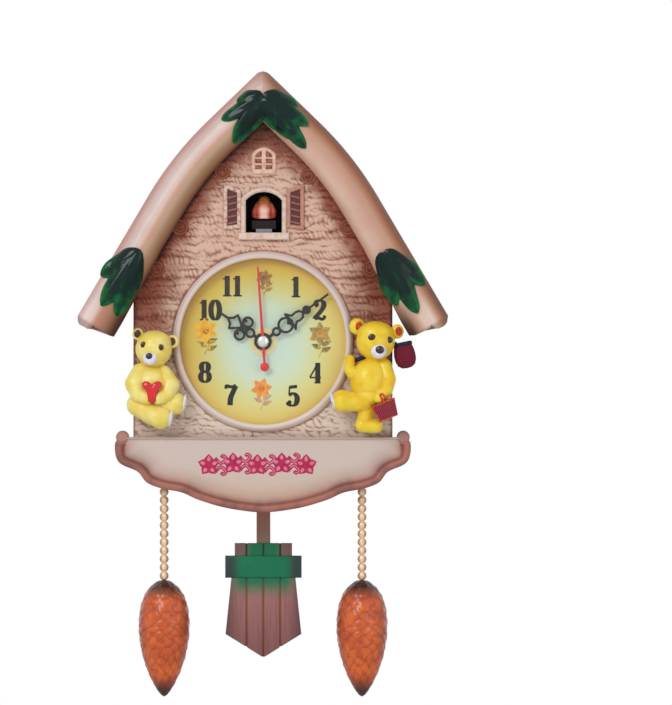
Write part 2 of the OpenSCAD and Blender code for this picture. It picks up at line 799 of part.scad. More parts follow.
module second_hand() {
  color("firebrick") front_view() at_dial() rotate([0, 0, -second_shown])
    translate([0, 0, second_f]) difference() {
      union() {
        linear_extrude(hand_t) {
          circle(2.4);
          polygon([[-0.75, 0], [0.75, 0], [0.35, second_l], [-0.35, second_l]]);
          translate([-0.6, -15]) square([1.2, 15]);
          translate([0, -17]) circle(3);
        }
        cylinder(r = 3.9, h = hand_t + 0.5);
        translate([0, 0, hand_t + 0.5]) cylinder(r1 = 3.9, r2 = 2.4, h = 0.8);
      }
      translate([0, 0, -1]) cylinder(r = arbor_r + press_gap, h = hand_t + 1.2);
    }
}

// Gear teeth with straight flanks that lie inside the true involute
pressure = 25;
tooth_play = 0.1;

function inv(a) = tan(a) * 180 / PI - a;

// Half the angle that a tooth fills at a radius, in degrees
function tooth_half(z, m, r) = let(pitch_r = z * m / 2, base_r = pitch_r * cos(pressure))
  (90 - 180 / PI * tooth_play) / z + inv(pressure) - (r > base_r ? inv(acos(base_r / r)) : 0);

module gear(z, m, h, phase) {
  tip = z * m / 2 + 0.8 * m;
  root = z * m / 2 - 1.05 * m;
  a_tip = tooth_half(z, m, tip);
  a_root = tooth_half(z, m, root);
  linear_extrude(h) polygon([for (i = [0:z - 1], k = [0:3]) let(
      a = phase + 360 * i / z + [-a_root, -a_tip, a_tip, a_root][k],
      r = k == 1 || k == 2 ? tip : root) [r * cos(a), r * sin(a)]]);
}

// Phase of a gear of z2 teeth that meshes with one of z1 teeth at phase p1, towards angle a
function meshed(p1, z1, z2, a) = a + 180 - (p1 - a) * z1 / z2 + 180 / z2;

function polar(r, a) = r * [cos(a), sin(a)];

cannon_z = 15;
motion_z = 45;
motion_pinion_z = 12;
hour_z = 48;
minute_z = 80;
third_pinion_z = 10;
third_z = 75;
second_pinion_z = 10;
second_z = 60;
inter_pinion_z = 10;
inter_z = 60;
rotor_z = 12;
knob_z = 15;

motion_dir = -90;
third_dir = 210;
inter_dir = 10;
rotor_dir = -10;
knob_dir = -20;
inter_m = 0.25;
rotor_m = 0.2;

motion_at = polar((cannon_z + motion_z) / 2 * motion_m, motion_dir);
third_at = polar(third_c, third_dir);
inter_at = polar((second_z + inter_pinion_z) / 2 * inter_m, inter_dir);
rotor_at = inter_at + polar((inter_z + rotor_z) / 2 * rotor_m, rotor_dir);
knob_at = motion_at + polar((motion_z + knob_z) / 2 * motion_m, knob_dir);
minute_m = 2 * third_c / (minute_z + third_pinion_z);
third_m = 2 * third_c / (third_z + second_pinion_z);

motion_phase = meshed(motion_dir, cannon_z, motion_z, motion_dir);
hour_phase = meshed(motion_dir + 180, motion_pinion_z, hour_z, motion_dir + 180);
third_pinion_phase = meshed(third_dir, minute_z, third_pinion_z, third_dir);
third_phase = meshed(third_dir, second_pinion_z, third_z, third_dir);
inter_pinion_phase = meshed(inter_dir, second_z, inter_pinion_z, inter_dir);
rotor_phase = meshed(rotor_dir, inter_z, rotor_z, rotor_dir);
knob_phase = meshed(motion_phase, motion_z, knob_z, knob_dir);

// Levels of the train behind the movement's front plate
inner_f = mov_front - mov_wall;
hour_level = inner_f - 1.3;
motion_level = inner_f - 2.8;
minute_level = inner_f - 3.9;
third_level = inner_f - 6.1;
second_level = inner_f - 8.1;
inter_level = inner_f - 10;
split_f = mov_back + 9;
back_in = mov_back + mov_wall;
cell_r = 7.1;
cell_l = 49.4;
cell_gap = 0.1;
bay_high = mov_w / 2 - mov_wall;
bay_low = bay_high - 2 * (cell_r + cell_gap);
cell_y = (bay_low + bay_high) / 2;
cell_f = inner_f - cell_r - 2 * cell_gap;

module hour_wheel() {
  color("ivory") front_view() at_dial() difference() {
    union() {
      translate([0, 0, hour_level]) gear(hour_z, motion_m, 1, hour_phase);
      translate([0, 0, hour_level]) cylinder(r = hour_pipe_r, h = hour_f + hand_t - hour_level);
    }
    cylinder(r = minute_pipe_r + run_fit, h = case_d + 20);
  }
}

module minute_wheel() {
  color("ivory") front_view() at_dial() difference() {
    union() {
      translate([0, 0, minute_level]) gear(minute_z, minute_m, 0.8, third_dir);
      translate([0, 0, minute_level + 0.8 - eps]) gear(cannon_z, motion_m, 1.4, motion_dir);
      translate([0, 0, minute_level]) cylinder(r = minute_pipe_r,
        h = minute_f + hand_t - minute_level);
    }
    cylinder(r = arbor_r + run_fit, h = case_d + 20);
  }
}

module second_wheel() {
  color("ivory") front_view() at_dial() {
    translate([0, 0, second_level]) gear(second_z, inter_m, 0.8, inter_dir);
    translate([0, 0, second_level + 0.8 - eps]) gear(second_pinion_z, third_m, 2.4, third_dir);
    translate([0, 0, back_in + 0.4]) cylinder(r = arbor_r, h = second_f + hand_t - back_in - 0.4);
  }
}

module third_wheel() {
  color("ivory") front_view() at_dial() translate([third_at[0], third_at[1], 0]) {
    translate([0, 0, third_level]) gear(third_z, third_m, 0.8, third_phase);
    translate([0, 0, third_level + 0.8 - eps])
      gear(third_pinion_z, minute_m, minute_level - third_level + 0.1, third_pinion_phase);
    translate([0, 0, back_in + 0.4]) cylinder(r = arbor_r, h = inner_f - back_in - 0.8);
  }
}

post_r = 0.8;

module motion_wheel() {
  color("ivory") front_view() at_dial() translate([motion_at[0], motion_at[1], 0]) difference() {
    union() {
      translate([0, 0, motion_level]) gear(motion_z, motion_m, 1, motion_phase);
      translate([0, 0, motion_level + 1 - eps])
        gear(motion_pinion_z, motion_m, 1.5, motion_dir + 180);
    }
    cylinder(r = post_r + run_fit, h = case_d);
  }
}

module intermediate_wheel() {
  color("ivory") front_view() at_dial() translate([inter_at[0], inter_at[1], 0]) difference() {
    union() {
      translate([0, 0, inter_level]) gear(inter_z, rotor_m, 0.7, rotor_dir);
      translate([0, 0, inter_level + 0.7 - eps])
        gear(inter_pinion_z, inter_m, second_level - inter_level + 0.2, inter_pinion_phase);
    }
    cylinder(r = arbor_r + run_fit, h = case_d);
  }
}

rotor_r = 3;

module rotor() {
  color("dimgray") front_view() at_dial() translate([rotor_at[0], rotor_at[1], 0]) difference() {
    union() {
      translate([0, 0, inter_level - 0.3]) gear(rotor_z, rotor_m, 1.3, rotor_phase);
      translate([0, 0, inter_level - 2.1]) cylinder(r = rotor_r, h = 1.6);
      translate([0, 0, inter_level - 0.6]) cylinder(r = 0.9, h = 0.5);
    }
    cylinder(r = arbor_r + run_fit, h = case_d);
  }
}

coil_at = [23.2, rotor_at[1]];

module stator() {
  color("gray") front_view() at_dial() translate([0, 0, inter_level - 1.9]) difference() {
    translate([11.3, rotor_at[1] - 9, 0]) cube([mov_w / 2 - mov_wall - 11.5, 18, 1]);
    translate([rotor_at[0], rotor_at[1], -1]) cylinder(r = rotor_r + 0.5, h = 3);
  }
}

module drive_coil() {
  coil_f = inter_level - 0.9 + 3.1;
  color("chocolate") front_view() at_dial() translate([coil_at[0], coil_at[1], coil_f]) {
    translate([0, -6, 0]) upright() cylinder(r = 2.6, h = 12);
    for (end = [-1, 1]) translate([-2.9, end * 6.4 - 0.5, -3.1]) cube([5.8, 1, 6.2]);
  }
}

module circuit_board() {
  color("seagreen") front_view() at_dial() translate([-25.6, -26, inner_f - 1]) cube([14, 18, 1]);
}

module quartz_crystal() {
  color("silver") front_view() at_dial() translate([-20, -22, inner_f - 2]) upright()
    cylinder(r = 1, h = 6, $fn = 32);
}

module movement_shell(low, high) {
  translate([-mov_w / 2, -mov_w / 2, low]) difference() {
    cube([mov_w, mov_w, high - low]);
    translate([mov_wall, mov_wall, -1])
      cube([mov_w - 2 * mov_wall, mov_w - 2 * mov_wall, high - low + 2]);
  }
  translate([-mov_w / 2 + eps, bay_low - 1, low]) cube([mov_w - 2 * eps, 1, high - low]);
}

// Bored boss for an arbor's end
module bearing(at, low, high, r, bore) {
  translate([at[0], at[1], low]) difference() {
    cylinder(r = r, h = high - low);
    translate([0, 0, -1]) cylinder(r = bore, h = high - low + 2);
  }
}

module movement_base() {
  color("dimgray") front_view() at_dial() {
    movement_shell(split_f, inner_f + eps);
    difference() {
      translate([-mov_w / 2, -mov_w / 2, inner_f]) cube([mov_w, mov_w, mov_wall]);
      translate([0, 0, inner_f - 1]) cylinder(r = bush_r + press_gap, h = mov_wall + 2);
    }
    translate([motion_at[0], motion_at[1], motion_level - 0.4])
      cylinder(r = post_r, h = inner_f - motion_level + 0.4 + eps);
    bearing(third_at, inner_f - 1.7, inner_f + eps, 1.15, arbor_r + run_fit);
  }
}

module movement_cover() {
  color("black") front_view() at_dial() {
    movement_shell(back_in - eps, split_f);
    difference() {
      translate([-mov_w / 2, -mov_w / 2, mov_back]) cube([mov_w, mov_w, mov_wall]);
      translate([-mov_w / 2 + mov_wall, bay_low + cell_gap, mov_back - 1])
        cube([mov_w - 2 * mov_wall, 2 * cell_r, mov_wall + 2]);
      translate([knob_at[0], knob_at[1], mov_back - 1])
        cylinder(r = knob_shaft_r + run_fit, h = mov_wall + 2);
    }
    for (at = [inter_at, rotor_at]) translate([at[0], at[1], back_in - eps])
      cylinder(r = arbor_r, h = (at == rotor_at ? inter_level + 1.4 : second_level + 1.2) - back_in);
    bearing([0, 0], back_in - eps, back_in + 2, 1.5, arbor_r + run_fit);
    bearing(third_at, back_in - eps, back_in + 2, 1.5, arbor_r + run_fit);
  }
}

module threaded_bush() {
  color("goldenrod") front_view() at_dial() translate([0, 0, inner_f]) difference() {
    cylinder(r = bush_r, h = nut_front + 0.2 - inner_f);
    translate([0, 0, -1]) cylinder(r = hour_pipe_r + run_fit, h = 12);
  }
}

knob_shaft_r = 1.2;
knob_r = 6;
knob_l = 4.5;

module setting_knob() {
  color("black") front_view() at_dial() translate([knob_at[0], knob_at[1], 0]) {
    translate([0, 0, motion_level]) gear(knob_z, motion_m, 1, knob_phase);
    translate([0, 0, mov_back - 1.5 - eps])
      cylinder(r = knob_shaft_r, h = motion_level + 1 - mov_back + 1.5);
    translate([0, 0, mov_back - 1.5 - knob_l]) difference() {
      cylinder(r = knob_r, h = knob_l);
      for (i = [0:11]) rotate([0, 0, 30 * i]) translate([knob_r + 0.6, 0, -1])
        cylinder(r = 1.2, h = knob_l + 2, $fn = 16);
    }
  }
}

// Cell lying along x, with its button at the right
module cell(l) {
  rotate([0, 90, 0]) {
    cylinder(r = cell_r, h = l - 1);
    cylinder(r = 2.7, h = l);
  }
}

module battery() {
  color("orange") front_view() at_dial() translate([-cell_l / 2, cell_y, cell_f]) cell(cell_l);
}

module battery_contacts() {
  wall_x = mov_w / 2 - mov_wall;
  color("silver") front_view() at_dial() for (side = [-1, 1]) translate([0, cell_y, cell_f]) {
    translate([side > 0 ? wall_x - 0.4 : -wall_x, -5, -5]) cube([0.4, 10, 10]);
    translate([side > 0 ? cell_l / 2 : -wall_x + 0.2, 0, 0]) rotate([0, 90, 0])
      cylinder(r = 2, h = wall_x - cell_l / 2 - 0.2);
  }
}

// Pendulum drive
bracket_w = 18;
bracket_t = 2;
bracket_above = 8.5;
bracket_below = 18;
coil_below = 12;
rod_below = 5;
peg_below = 10;
stem_t = 1.9;
pin_r = 1;
peg_r = 1.2;
rod_f = mov_back - rod_gap;
stem_f = rod_f + rod_t / 2;
hub_back = rod_f - rod_t / 2 - slip;
hub_front = stem_f + stem_t;
pivot_drop = dial_drop + pivot_gap;
bracket_top = pivot_drop - bracket_above;
bracket_low = pivot_drop + bracket_below;
coil_drop = pivot_drop + coil_below;
rod_top = pivot_drop + rod_below;
peg_drop = pivot_drop + peg_below;

module pendulum_bracket() {
  color("dimgray") front_view() difference() {
    union() {
      translate([-bracket_w / 2, -bracket_low, mov_back - bracket_t])
        cube([bracket_w, bracket_low - bracket_top, bracket_t]);
      translate([0, -pivot_drop, hub_front + slip])
        cylinder(r = 2.2, h = mov_back - bracket_t - hub_front - slip + eps);
    }
    translate([0, -pivot_drop, 0]) cylinder(r = pin_r + press_gap, h = mov_back + 1);
  }
}

module pendulum_pivot_pin() {
  color("silver") front_view() translate([0, -pivot_drop, 0]) {
    translate([0, 0, hub_back - slip - 1]) cylinder(r = 2, h = 1);
    translate([0, 0, hub_back - slip - eps]) cylinder(r = pin_r, h = mov_back - hub_back + slip);
  }
}

module pendulum_coil() {
  color("chocolate") front_view() translate([0, -coil_drop, mov_back - bracket_t - 3]) difference() {
    cylinder(r = 5.6, h = 3);
    translate([0, 0, -1]) cylinder(r = 2, h = 5);
  }
}

module pendulum_rocker() {
  color("ivory") front_view() difference() {
    union() {
      translate([0, -pivot_drop, hub_back]) cylinder(r = 3, h = hub_front - hub_back);
      translate([-3.5, -bracket_low, stem_f]) cube([7, bracket_low - pivot_drop, hub_front - stem_f]);
      translate([0, -peg_drop, rod_f - rod_t / 2]) cylinder(r = peg_r, h = rod_t + eps);
    }
    translate([0, -pivot_drop, 0]) cylinder(r = pin_r + run_fit, h = 30);
  }
}

module pendulum_magnet() {
  color("gray") front_view() translate([0, -coil_drop, hub_front]) cylinder(r = 3.5,
    h = mov_back - bracket_t - 3 - hub_front - 0.6);
}

pocket_d = 3.4;

module pendulum_rod() {
  color("sienna") front_view() difference() {
    translate([-rod_w / 2, -bob_drop - pocket_d, rod_f - rod_t / 2])
      cube([rod_w, bob_drop + pocket_d - rod_top, rod_t]);
    translate([0, -peg_drop, 0]) cylinder(r = peg_r + 0.1, h = 30);
  }
}

block_w = 38.6;
block_h = 9;
band_h = 13.6;
plank_top_w = 40;
plank_low_w = 51;
point_h = 15.9;

// Outline of the three planks that hang below the band
module plank_outline() {
  low = bob_h - point_h;
  polygon([[-plank_top_w / 2, -block_h], [plank_top_w / 2, -block_h], [plank_low_w / 2, -low],
    [0, -bob_h], [-plank_low_w / 2, -low]]);
}

module pendulum_bob() {
  plank_t = bob_t - 2.4;
  color("rosybrown") front_view() translate([0, -bob_drop, rod_f]) difference() {
    union() {
      translate([-block_w / 2, -block_h - eps, -plank_t / 2]) cube([block_w, block_h + eps, plank_t]);
      translate([-band_w / 2, -block_h - band_h, -bob_t / 2]) cube([band_w, band_h, bob_t]);
      translate([0, 0, -plank_t / 2]) linear_extrude(plank_t) plank_outline();
    }
    for (i = [-1:1]) translate([i * 11.3 - 0.5, -bob_h - 1, plank_t / 2 - 0.9])
      cube([1, bob_h - block_h - band_h + 1, 2]);
    translate([-rod_w / 2 - 0.1, -pocket_d - 0.1, -rod_t / 2 - 0.1])
      cube([rod_w + 0.2, pocket_d + 1, rod_t + 0.2]);
  }
}

// Bird and its slide
box_w = 32;
box_wall = 1.2;
box_top = 22;
box_low = 62;
box_back = 14;
plunger_r = 1.5;
plunger_drop = 53.8;
tray_top = 52.6;
tray_t = 2.4;

module bird_box() {
  color("black") front_view() translate([window_x, 0, 0]) difference() {
    translate([-box_w / 2, -box_low, box_back])
      cube([box_w, box_low - box_top, case_d - skin - box_back]);
    translate([-box_w / 2 + box_wall, -box_low + box_wall, box_back + box_wall])
      cube([box_w - 2 * box_wall, box_low - box_top - 2 * box_wall, case_d]);
    translate([0, -plunger_drop, 0]) cylinder(r = plunger_r + 0.08, h = box_back + 5);
  }
}

carriage_front = case_d - skin - 1;
carriage_back = 18;

module bird_carriage() {
  color("lightgray") front_view() translate([window_x, 0, 0]) {
    translate([-5.3, -tray_top - tray_t, carriage_back])
      cube([10.6, tray_t, carriage_front - carriage_back]);
    translate([0, -plunger_drop, 5]) cylinder(r = plunger_r, h = carriage_back - 5 + 0.5);
    translate([-5.3, -tray_top - tray_t, carriage_back]) cube([10.6, tray_t + 2, 2]);
    translate([-8, -tray_top, carriage_back + 4]) cube([16, 5.6, carriage_front - carriage_back - 7]);
  }
}

module bird() {
  perch = -tray_top + 5.6;
  color("sienna") front_view() translate([window_x, perch, carriage_front - 10]) {
    translate([0, 7.2, 0]) resize([13, 14, 13]) sphere(7, $fn = 26);
    translate([0, 13, 2.5]) sphere(4, $fn = 26);
    translate([0, 12.6, 5.5]) cylinder(r1 = 1.6, r2 = 0.3, h = 3.4, $fn = 16);
    for (side = [-1, 1]) hull() {
      translate([side * 5.6, 9, 0]) resize([3, 8, 9]) sphere(4, $fn = 18);
      translate([side * 7.2, 3.6, -3]) sphere(1.2, $fn = 18);
    }
    hull() {
      translate([0, 5, -4]) sphere(2.6, $fn = 18);
      translate([0, 1.6, -9]) cube([5, 1.2, 2], center = true);
    }
    for (side = [-1, 1]) translate([side * 2.4, 0, 1]) upright() cylinder(r = 0.7, h = 3, $fn = 16);
  }
}

module bird_solenoid() {
  color("gray") front_view() translate([window_x, -plunger_drop, 0]) difference() {
    union() {
      translate([-8, -8, cover_t + 1]) cube([16, 16, 1.2]);
      translate([-8, -8, box_back - 1.2]) cube([16, 16, 1.2]);
      translate([0, 0, cover_t + 1]) cylinder(r = 7, h = box_back - cover_t - 1);
    }
    cylinder(r = plunger_r + 0.08, h = box_back + 5);
  }
}

// Chime unit on the rear cover
module chime_board() {
  color("seagreen") front_view() translate([chime_at[0] - chime_w / 2, chime_at[1] - chime_h / 2,
    chime_f]) {
    cube([chime_w, chime_h, 1.6]);
    translate([7, 17, 1.6 - eps]) cube([8, 6, 1.8]);
    translate([24, 20, 1.6 - eps]) cylinder(r = 3, h = 6);
  }
}

module speaker() {
  color("black") front_view() translate([speaker_at[0], speaker_at[1], cover_t]) difference() {
    union() {
      cylinder(r = speaker_r, h = 1.6);
      translate([0, 0, 1.6 - eps]) cylinder(r1 = speaker_r - 1.5, r2 = 10, h = 5);
    }
    translate([0, 0, -eps]) cylinder(r1 = speaker_r - 2.5, r2 = 7, h = 5);
  }
}

module speaker_magnet() {
  color("gray") front_view() translate([speaker_at[0], speaker_at[1], cover_t + 6.6 - eps])
    cylinder(r = 9, h = 5);
}

module battery_tray() {
  color("dimgray") front_view() translate([tray_x, -tray_drop - tray_h, cover_t]) difference() {
    cube([tray_w, tray_h, tray_d]);
    translate([tray_wall, tray_wall, -1])
      cube([tray_w - 2 * tray_wall, tray_h - 2 * tray_wall, tray_d - tray_wall + 1]);
  }
}

module chime_batteries() {
  cell_back = cover_t + tray_d - tray_wall - cell_r - 0.1;
  color("orange") front_view() for (i = [0, 1])
    translate([tray_x + tray_w / 2 + (i * 2 - 1) * (cell_r + 0.3),
      -tray_drop - tray_h / 2 + (i * 2 - 1) * 25.2, cell_back])
      rotate([0, 0, i == 0 ? 90 : -90]) cell(50.4);
}

module battery_door() {
  color("saddlebrown") front_view() translate([tray_x + (tray_w - door_w) / 2 + slip,
    -tray_drop - tray_h + (tray_h - door_h) / 2 + slip, 0]) difference() {
      cube([door_w - 2 * slip, door_h - 2 * slip, cover_t - 0.2]);
      translate([door_w / 2 - slip, 6, -2.6]) rotate([0, 90, 0]) cylinder(r = 3.4, h = 12,
        center = true);
    }
}

module volume_switch() {
  color("black") front_view() translate([chime_at[0] - switch_travel / 2, chime_at[1], 0]) {
    translate([-switch_w / 2, -switch_slot_h / 2, 0.3])
      cube([switch_w, switch_slot_h, chime_f - 0.3 - 0.1]);
    translate([-switch_w / 2 - 1, -switch_slot_h / 2 - 1, cover_t + 0.4])
      cube([switch_w + 2, switch_slot_h + 2, chime_f - cover_t - 0.5]);
  }
}

// Hanging chains and cones
hook_drop = floor_drop + 4.5;
hook_pin_r = 1;
ear_gap = 2.4;
ear_t = 1.2;
bead_r = bead_d / 2;
first_bead = hook_drop + 6.2;
last_bead = first_bead + (bead_n - 1) * bead_pitch;
cone_top = last_bead + bead_r - 0.3;

module chain_hooks() {
  color("goldenrod") front_view() both_sides() translate([chain_x, -hook_drop, chain_f]) {
    translate([-2.5, hook_drop - floor_drop - 1.2, -ear_gap - ear_t])
      cube([5, 1.2, 2 * (ear_gap + ear_t)]);
    for (side = [-1, 1]) translate([0, 0, side * (ear_gap + ear_t / 2) - ear_t / 2]) {
      cylinder(r = 2.5, h = ear_t);
      translate([-2.5, 0, 0]) cube([5, hook_drop - floor_drop - 0.1, ear_t]);
    }
    translate([0, 0, -ear_gap - ear_t]) cylinder(r = hook_pin_r, h = 2 * (ear_gap + ear_t));
    translate([0, hook_drop - floor_drop - 1, 0]) upright()
      cylinder(r = hook_shank_r, h = skin + 3);
  }
}

module chain(x) {
  color("burlywood") front_view() translate([x, 0, chain_f]) {
    translate([0, -hook_drop, -ear_gap + slip]) difference() {
      union() {
        cylinder(r = 2.4, h = 2 * (ear_gap - slip));
        translate([-0.7, -4.4, ear_gap - slip - 0.7]) cube([1.4, 3, 1.4]);
      }
      translate([0, 0, -1]) cylinder(r = hook_pin_r + run_fit, h = 10);
    }
    for (i = [0:bead_n - 1]) translate([0, -first_bead - i * bead_pitch, 0])
      sphere(bead_r, $fn = 32);
  }
}

module left_chain() {
  chain(-chain_x);
}

module right_chain() {
  chain(chain_x);
}

// Cone profile from its crown down to its tip, as shares of its height and radius
cone_shape = [[0, 0.16], [0.02, 0.34], [0.06, 0.56], [0.12, 0.76], [0.19, 0.89], [0.27, 0.97],
  [0.36, 1], [0.45, 1], [0.54, 0.95], [0.63, 0.87], [0.72, 0.76], [0.81, 0.6], [0.89, 0.42],
  [0.95, 0.25], [0.985, 0.12], [1, 0]];

module cone(x) {
  color("chocolate") front_view() translate([x, -cone_top, chain_f]) difference() {
    rotate([-90, 0, 0]) mirror([0, 0, 1]) rotate_extrude() polygon(concat([[0, 0]],
      [for (p = cone_shape) [p[1] * cone_d / 2, p[0] * cone_h]]));
    translate([0, bead_r - 0.3, 0]) sphere(bead_r + 0.02, $fn = 32);
  }
}

module left_cone() {
  cone(-chain_x);
}

module right_cone() {
  cone(chain_x);
}

front_case();
roof_moulding();
base_board();
rear_cover();
rear_cover_screws();
apex_leaves();
left_leaves();
right_leaves();
left_bear();
left_bear_heart();
right_bear();
right_bear_basket();
right_bear_bundle();
dial_plate();
dial_lens();
dial_washer();
dial_nut();
hour_hand();
minute_hand();
second_hand();
movement_base();
movement_cover();
threaded_bush();
hour_wheel();
minute_wheel();
second_wheel();
third_wheel();
motion_wheel();
intermediate_wheel();
rotor();
stator();
drive_coil();
circuit_board();
quartz_crystal();
setting_knob();
battery();
battery_contacts();
pendulum_bracket();
pendulum_coil();
pendulum_pivot_pin();
pendulum_rocker();
pendulum_magnet();
pendulum_rod();
pendulum_bob();
bird_box();
bird_carriage();
bird();
bird_solenoid();
chime_board();
speaker();
speaker_magnet();
battery_tray();
chime_batteries();
battery_door();
volume_switch();
chain_hooks();
left_chain();
right_chain();
left_cone();
right_cone();
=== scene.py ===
import math

import bmesh
import bpy
import mathutils
import numpy as np
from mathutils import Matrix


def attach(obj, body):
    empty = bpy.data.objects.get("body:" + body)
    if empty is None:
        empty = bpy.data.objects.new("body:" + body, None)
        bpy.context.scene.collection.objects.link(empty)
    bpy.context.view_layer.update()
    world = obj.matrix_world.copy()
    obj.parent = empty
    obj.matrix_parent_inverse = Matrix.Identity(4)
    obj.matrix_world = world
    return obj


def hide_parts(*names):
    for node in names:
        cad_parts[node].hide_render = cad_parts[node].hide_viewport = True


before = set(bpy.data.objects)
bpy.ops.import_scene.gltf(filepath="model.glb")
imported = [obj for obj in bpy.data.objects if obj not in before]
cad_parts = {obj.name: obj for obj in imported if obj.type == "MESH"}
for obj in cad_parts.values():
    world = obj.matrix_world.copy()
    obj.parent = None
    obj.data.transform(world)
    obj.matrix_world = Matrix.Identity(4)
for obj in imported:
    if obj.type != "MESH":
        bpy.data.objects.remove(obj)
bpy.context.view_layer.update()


# Rear cover
# The back of the clock is a moulded brown plastic plate with a keyhole, screwed to the case.
# Its battery door snaps into it and has the same fine spark-eroded texture.

MM = 0.001


def rgb(red, green, blue):
    """Linear colour of a paint whose seen values run from 0 to 255."""
    return tuple(((c / 255 + 0.055) / 1.055) ** 2.4 for c in (red, green, blue)) + (1.0,)


class Finish:
    """One surface finish: a principled shader with the nodes that colour it, in millimetres."""

    def __init__(self, name, roughness=0.5, **sockets):
        self.material = bpy.data.materials.new(name)
        self.material.use_nodes = True
        self.tree = self.material.node_tree
        self.shader = self.tree.nodes["Principled BSDF"]
        self.shader.inputs["Roughness"].default_value = roughness
        self.shader.inputs["Specular IOR Level"].default_value = 0.2
        for socket, value in sockets.items():
            self.shader.inputs[socket.replace("_", " ")].default_value = value
        scaled = self.add("ShaderNodeVectorMath", operation="SCALE")
        scaled.inputs["Scale"].default_value = 1 / MM
        self.tree.links.new(self.add("ShaderNodeTexCoord").outputs["Object"], scaled.inputs[0])
        self.place = scaled.outputs[0]
        split = self.add("ShaderNodeSeparateXYZ")
        self.tree.links.new(self.place, split.inputs[0])
        self.x, self.y, self.z = split.outputs
        self.height = None

    def add(self, kind, **settings):
        node = self.tree.nodes.new(kind)
        for setting, value in settings.items():
            setattr(node, setting, value)
        return node

    def feed(self, socket, term):
        if isinstance(term, bpy.types.NodeSocket):
            self.tree.links.new(term, socket)
        else:
            socket.default_value = term

    def calc(self, operation, *terms):
        node = self.add("ShaderNodeMath", operation=operation)
        for socket, term in zip(node.inputs, terms):
            self.feed(socket, term)
        return node.outputs[0]

    def times(self, *terms):
        return self.calc("MULTIPLY", *terms)

    def plus(self, *terms):
        return self.calc("ADD", *terms)

    def minus(self, *terms):
        return self.calc("SUBTRACT", *terms)

    def fade(self, value, low, high):
        """0 below low and 1 above high, with a soft step between; the other way round if low > high."""
        node = self.add("ShaderNodeMapRange", interpolation_type="SMOOTHSTEP")
        self.feed(node.inputs["Value"], value)
        node.inputs["From Min"].default_value = min(low, high)
        node.inputs["From Max"].default_value = max(low, high)
        node.inputs["To Min"].default_value = 0 if low < high else 1
        node.inputs["To Max"].default_value = 1 if low < high else 0
        return node.outputs[0]

    def ramp(self, value, low, high, *stops):
        """Colours spread from low to high, each stop as (share, colour)."""
        spread = self.add("ShaderNodeMapRange")
        self.feed(spread.inputs["Value"], value)
        spread.inputs["From Min"].default_value = low
        spread.inputs["From Max"].default_value = high
        node = self.add("ShaderNodeValToRGB")
        self.tree.links.new(spread.outputs[0], node.inputs[0])
        elements = node.color_ramp.elements
        elements.remove(elements[1])
        elements[0].position, elements[0].color = stops[0]
        for share, colour in stops[1:]:
            elements.new(share).color = colour
        return node.outputs[0]

    def mix(self, share, first, second, mode="MIX"):
        node = self.add("ShaderNodeMix", data_type="RGBA", blend_type=mode)
        self.feed(node.inputs[0], share)
        self.feed(node.inputs[6], first)
        self.feed(node.inputs[7], second)
        return node.outputs[2]

    def tint(self, base, colour, where, most):
        """The base colour, gone over to another one by most of the way where a term is 1."""
        return self.mix(self.times(where, most), base, colour)

    def grain(self, size, detail=2.0, stretch=(1, 1, 1)):
        """Noise whose lumps are about size millimetres, stretched along each axis."""
        mapping = self.add("ShaderNodeMapping")
        self.tree.links.new(self.place, mapping.inputs["Vector"])
        mapping.inputs["Scale"].default_value = [1 / (size * s) for s in stretch]
        node = self.add("ShaderNodeTexNoise")
        self.tree.links.new(mapping.outputs[0], node.inputs["Vector"])
        node.inputs["Scale"].default_value = 1
        node.inputs["Detail"].default_value = detail
        return node.outputs[0]

    def colour(self, term):
        self.feed(self.shader.inputs["Base Color"], term)
        return self

    def relief(self, height, depth):
        """Bump of depth millimetres from a height between 0 and 1."""
        node = self.add("ShaderNodeBump")
        node.inputs["Distance"].default_value = depth * MM
        node.inputs["Strength"].default_value = 1
        self.feed(node.inputs["Height"], height)
        if self.height:
            self.tree.links.new(self.height, node.inputs["Normal"])
        self.height = node.outputs[0]
        self.tree.links.new(self.height, self.shader.inputs["Normal"])
        return self

    def mottled(self, light, deep, lumps, fine, depth, soft=None):
        """Two shades in lumps over a finer relief. A grain is its size, or (size, detail, stretch)."""
        share, height = [self.grain(*(g if isinstance(g, tuple) else (g,))) for g in (lumps, fine)]
        share = self.fade(share, *soft) if soft else share
        return self.colour(self.mix(share, light, deep)).relief(height, depth)


def dress(finish, *names):
    """Gives CAD nodes their finish."""
    for name in names:
        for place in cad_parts[name].material_slots:
            place.material = finish.material


def moulded(name, colour, darker, roughness):
    """Plain moulded plastic: a slightly uneven colour and a fine eroded texture."""
    return Finish(name, roughness).mottled(colour, darker, 9, 0.35, 0.05)


brown_plastic = moulded("brown_plastic", rgb(92, 62, 47), rgb(78, 51, 38), 0.55)
dress(brown_plastic, "rear_cover", "battery_door")

plated_steel = Finish("plated_steel", 0.28, Metallic=1.0)
plated_steel.mottled(rgb(205, 205, 208), rgb(170, 171, 175), 1.2, (0.25, 2, (1, 1, 6)), 0.01)
dress(plated_steel, "rear_cover_screws")


# Quartz movement
# A black box holds the train: white acetal wheels, a steel stator, an enamelled copper coil and a board.
# The cell lies in its top bay between two plated springs, and the knob at the back sets the hands.

black_plastic = moulded("black_plastic", rgb(36, 36, 38), rgb(26, 26, 28), 0.5)
dress(black_plastic, "movement_base", "movement_cover", "setting_knob", "pendulum_bracket", "battery_tray",
      "volume_switch")

acetal = Finish("acetal", 0.38, Subsurface_Weight=0.1)
acetal.mottled(rgb(236, 232, 219), rgb(222, 216, 198), 3, 0.4, 0.02)
dress(acetal, "hour_wheel", "minute_wheel", "second_wheel", "third_wheel", "motion_wheel",
      "intermediate_wheel", "pendulum_rocker")
dress(plated_steel, "stator", "quartz_crystal", "battery_contacts", "pendulum_pivot_pin")

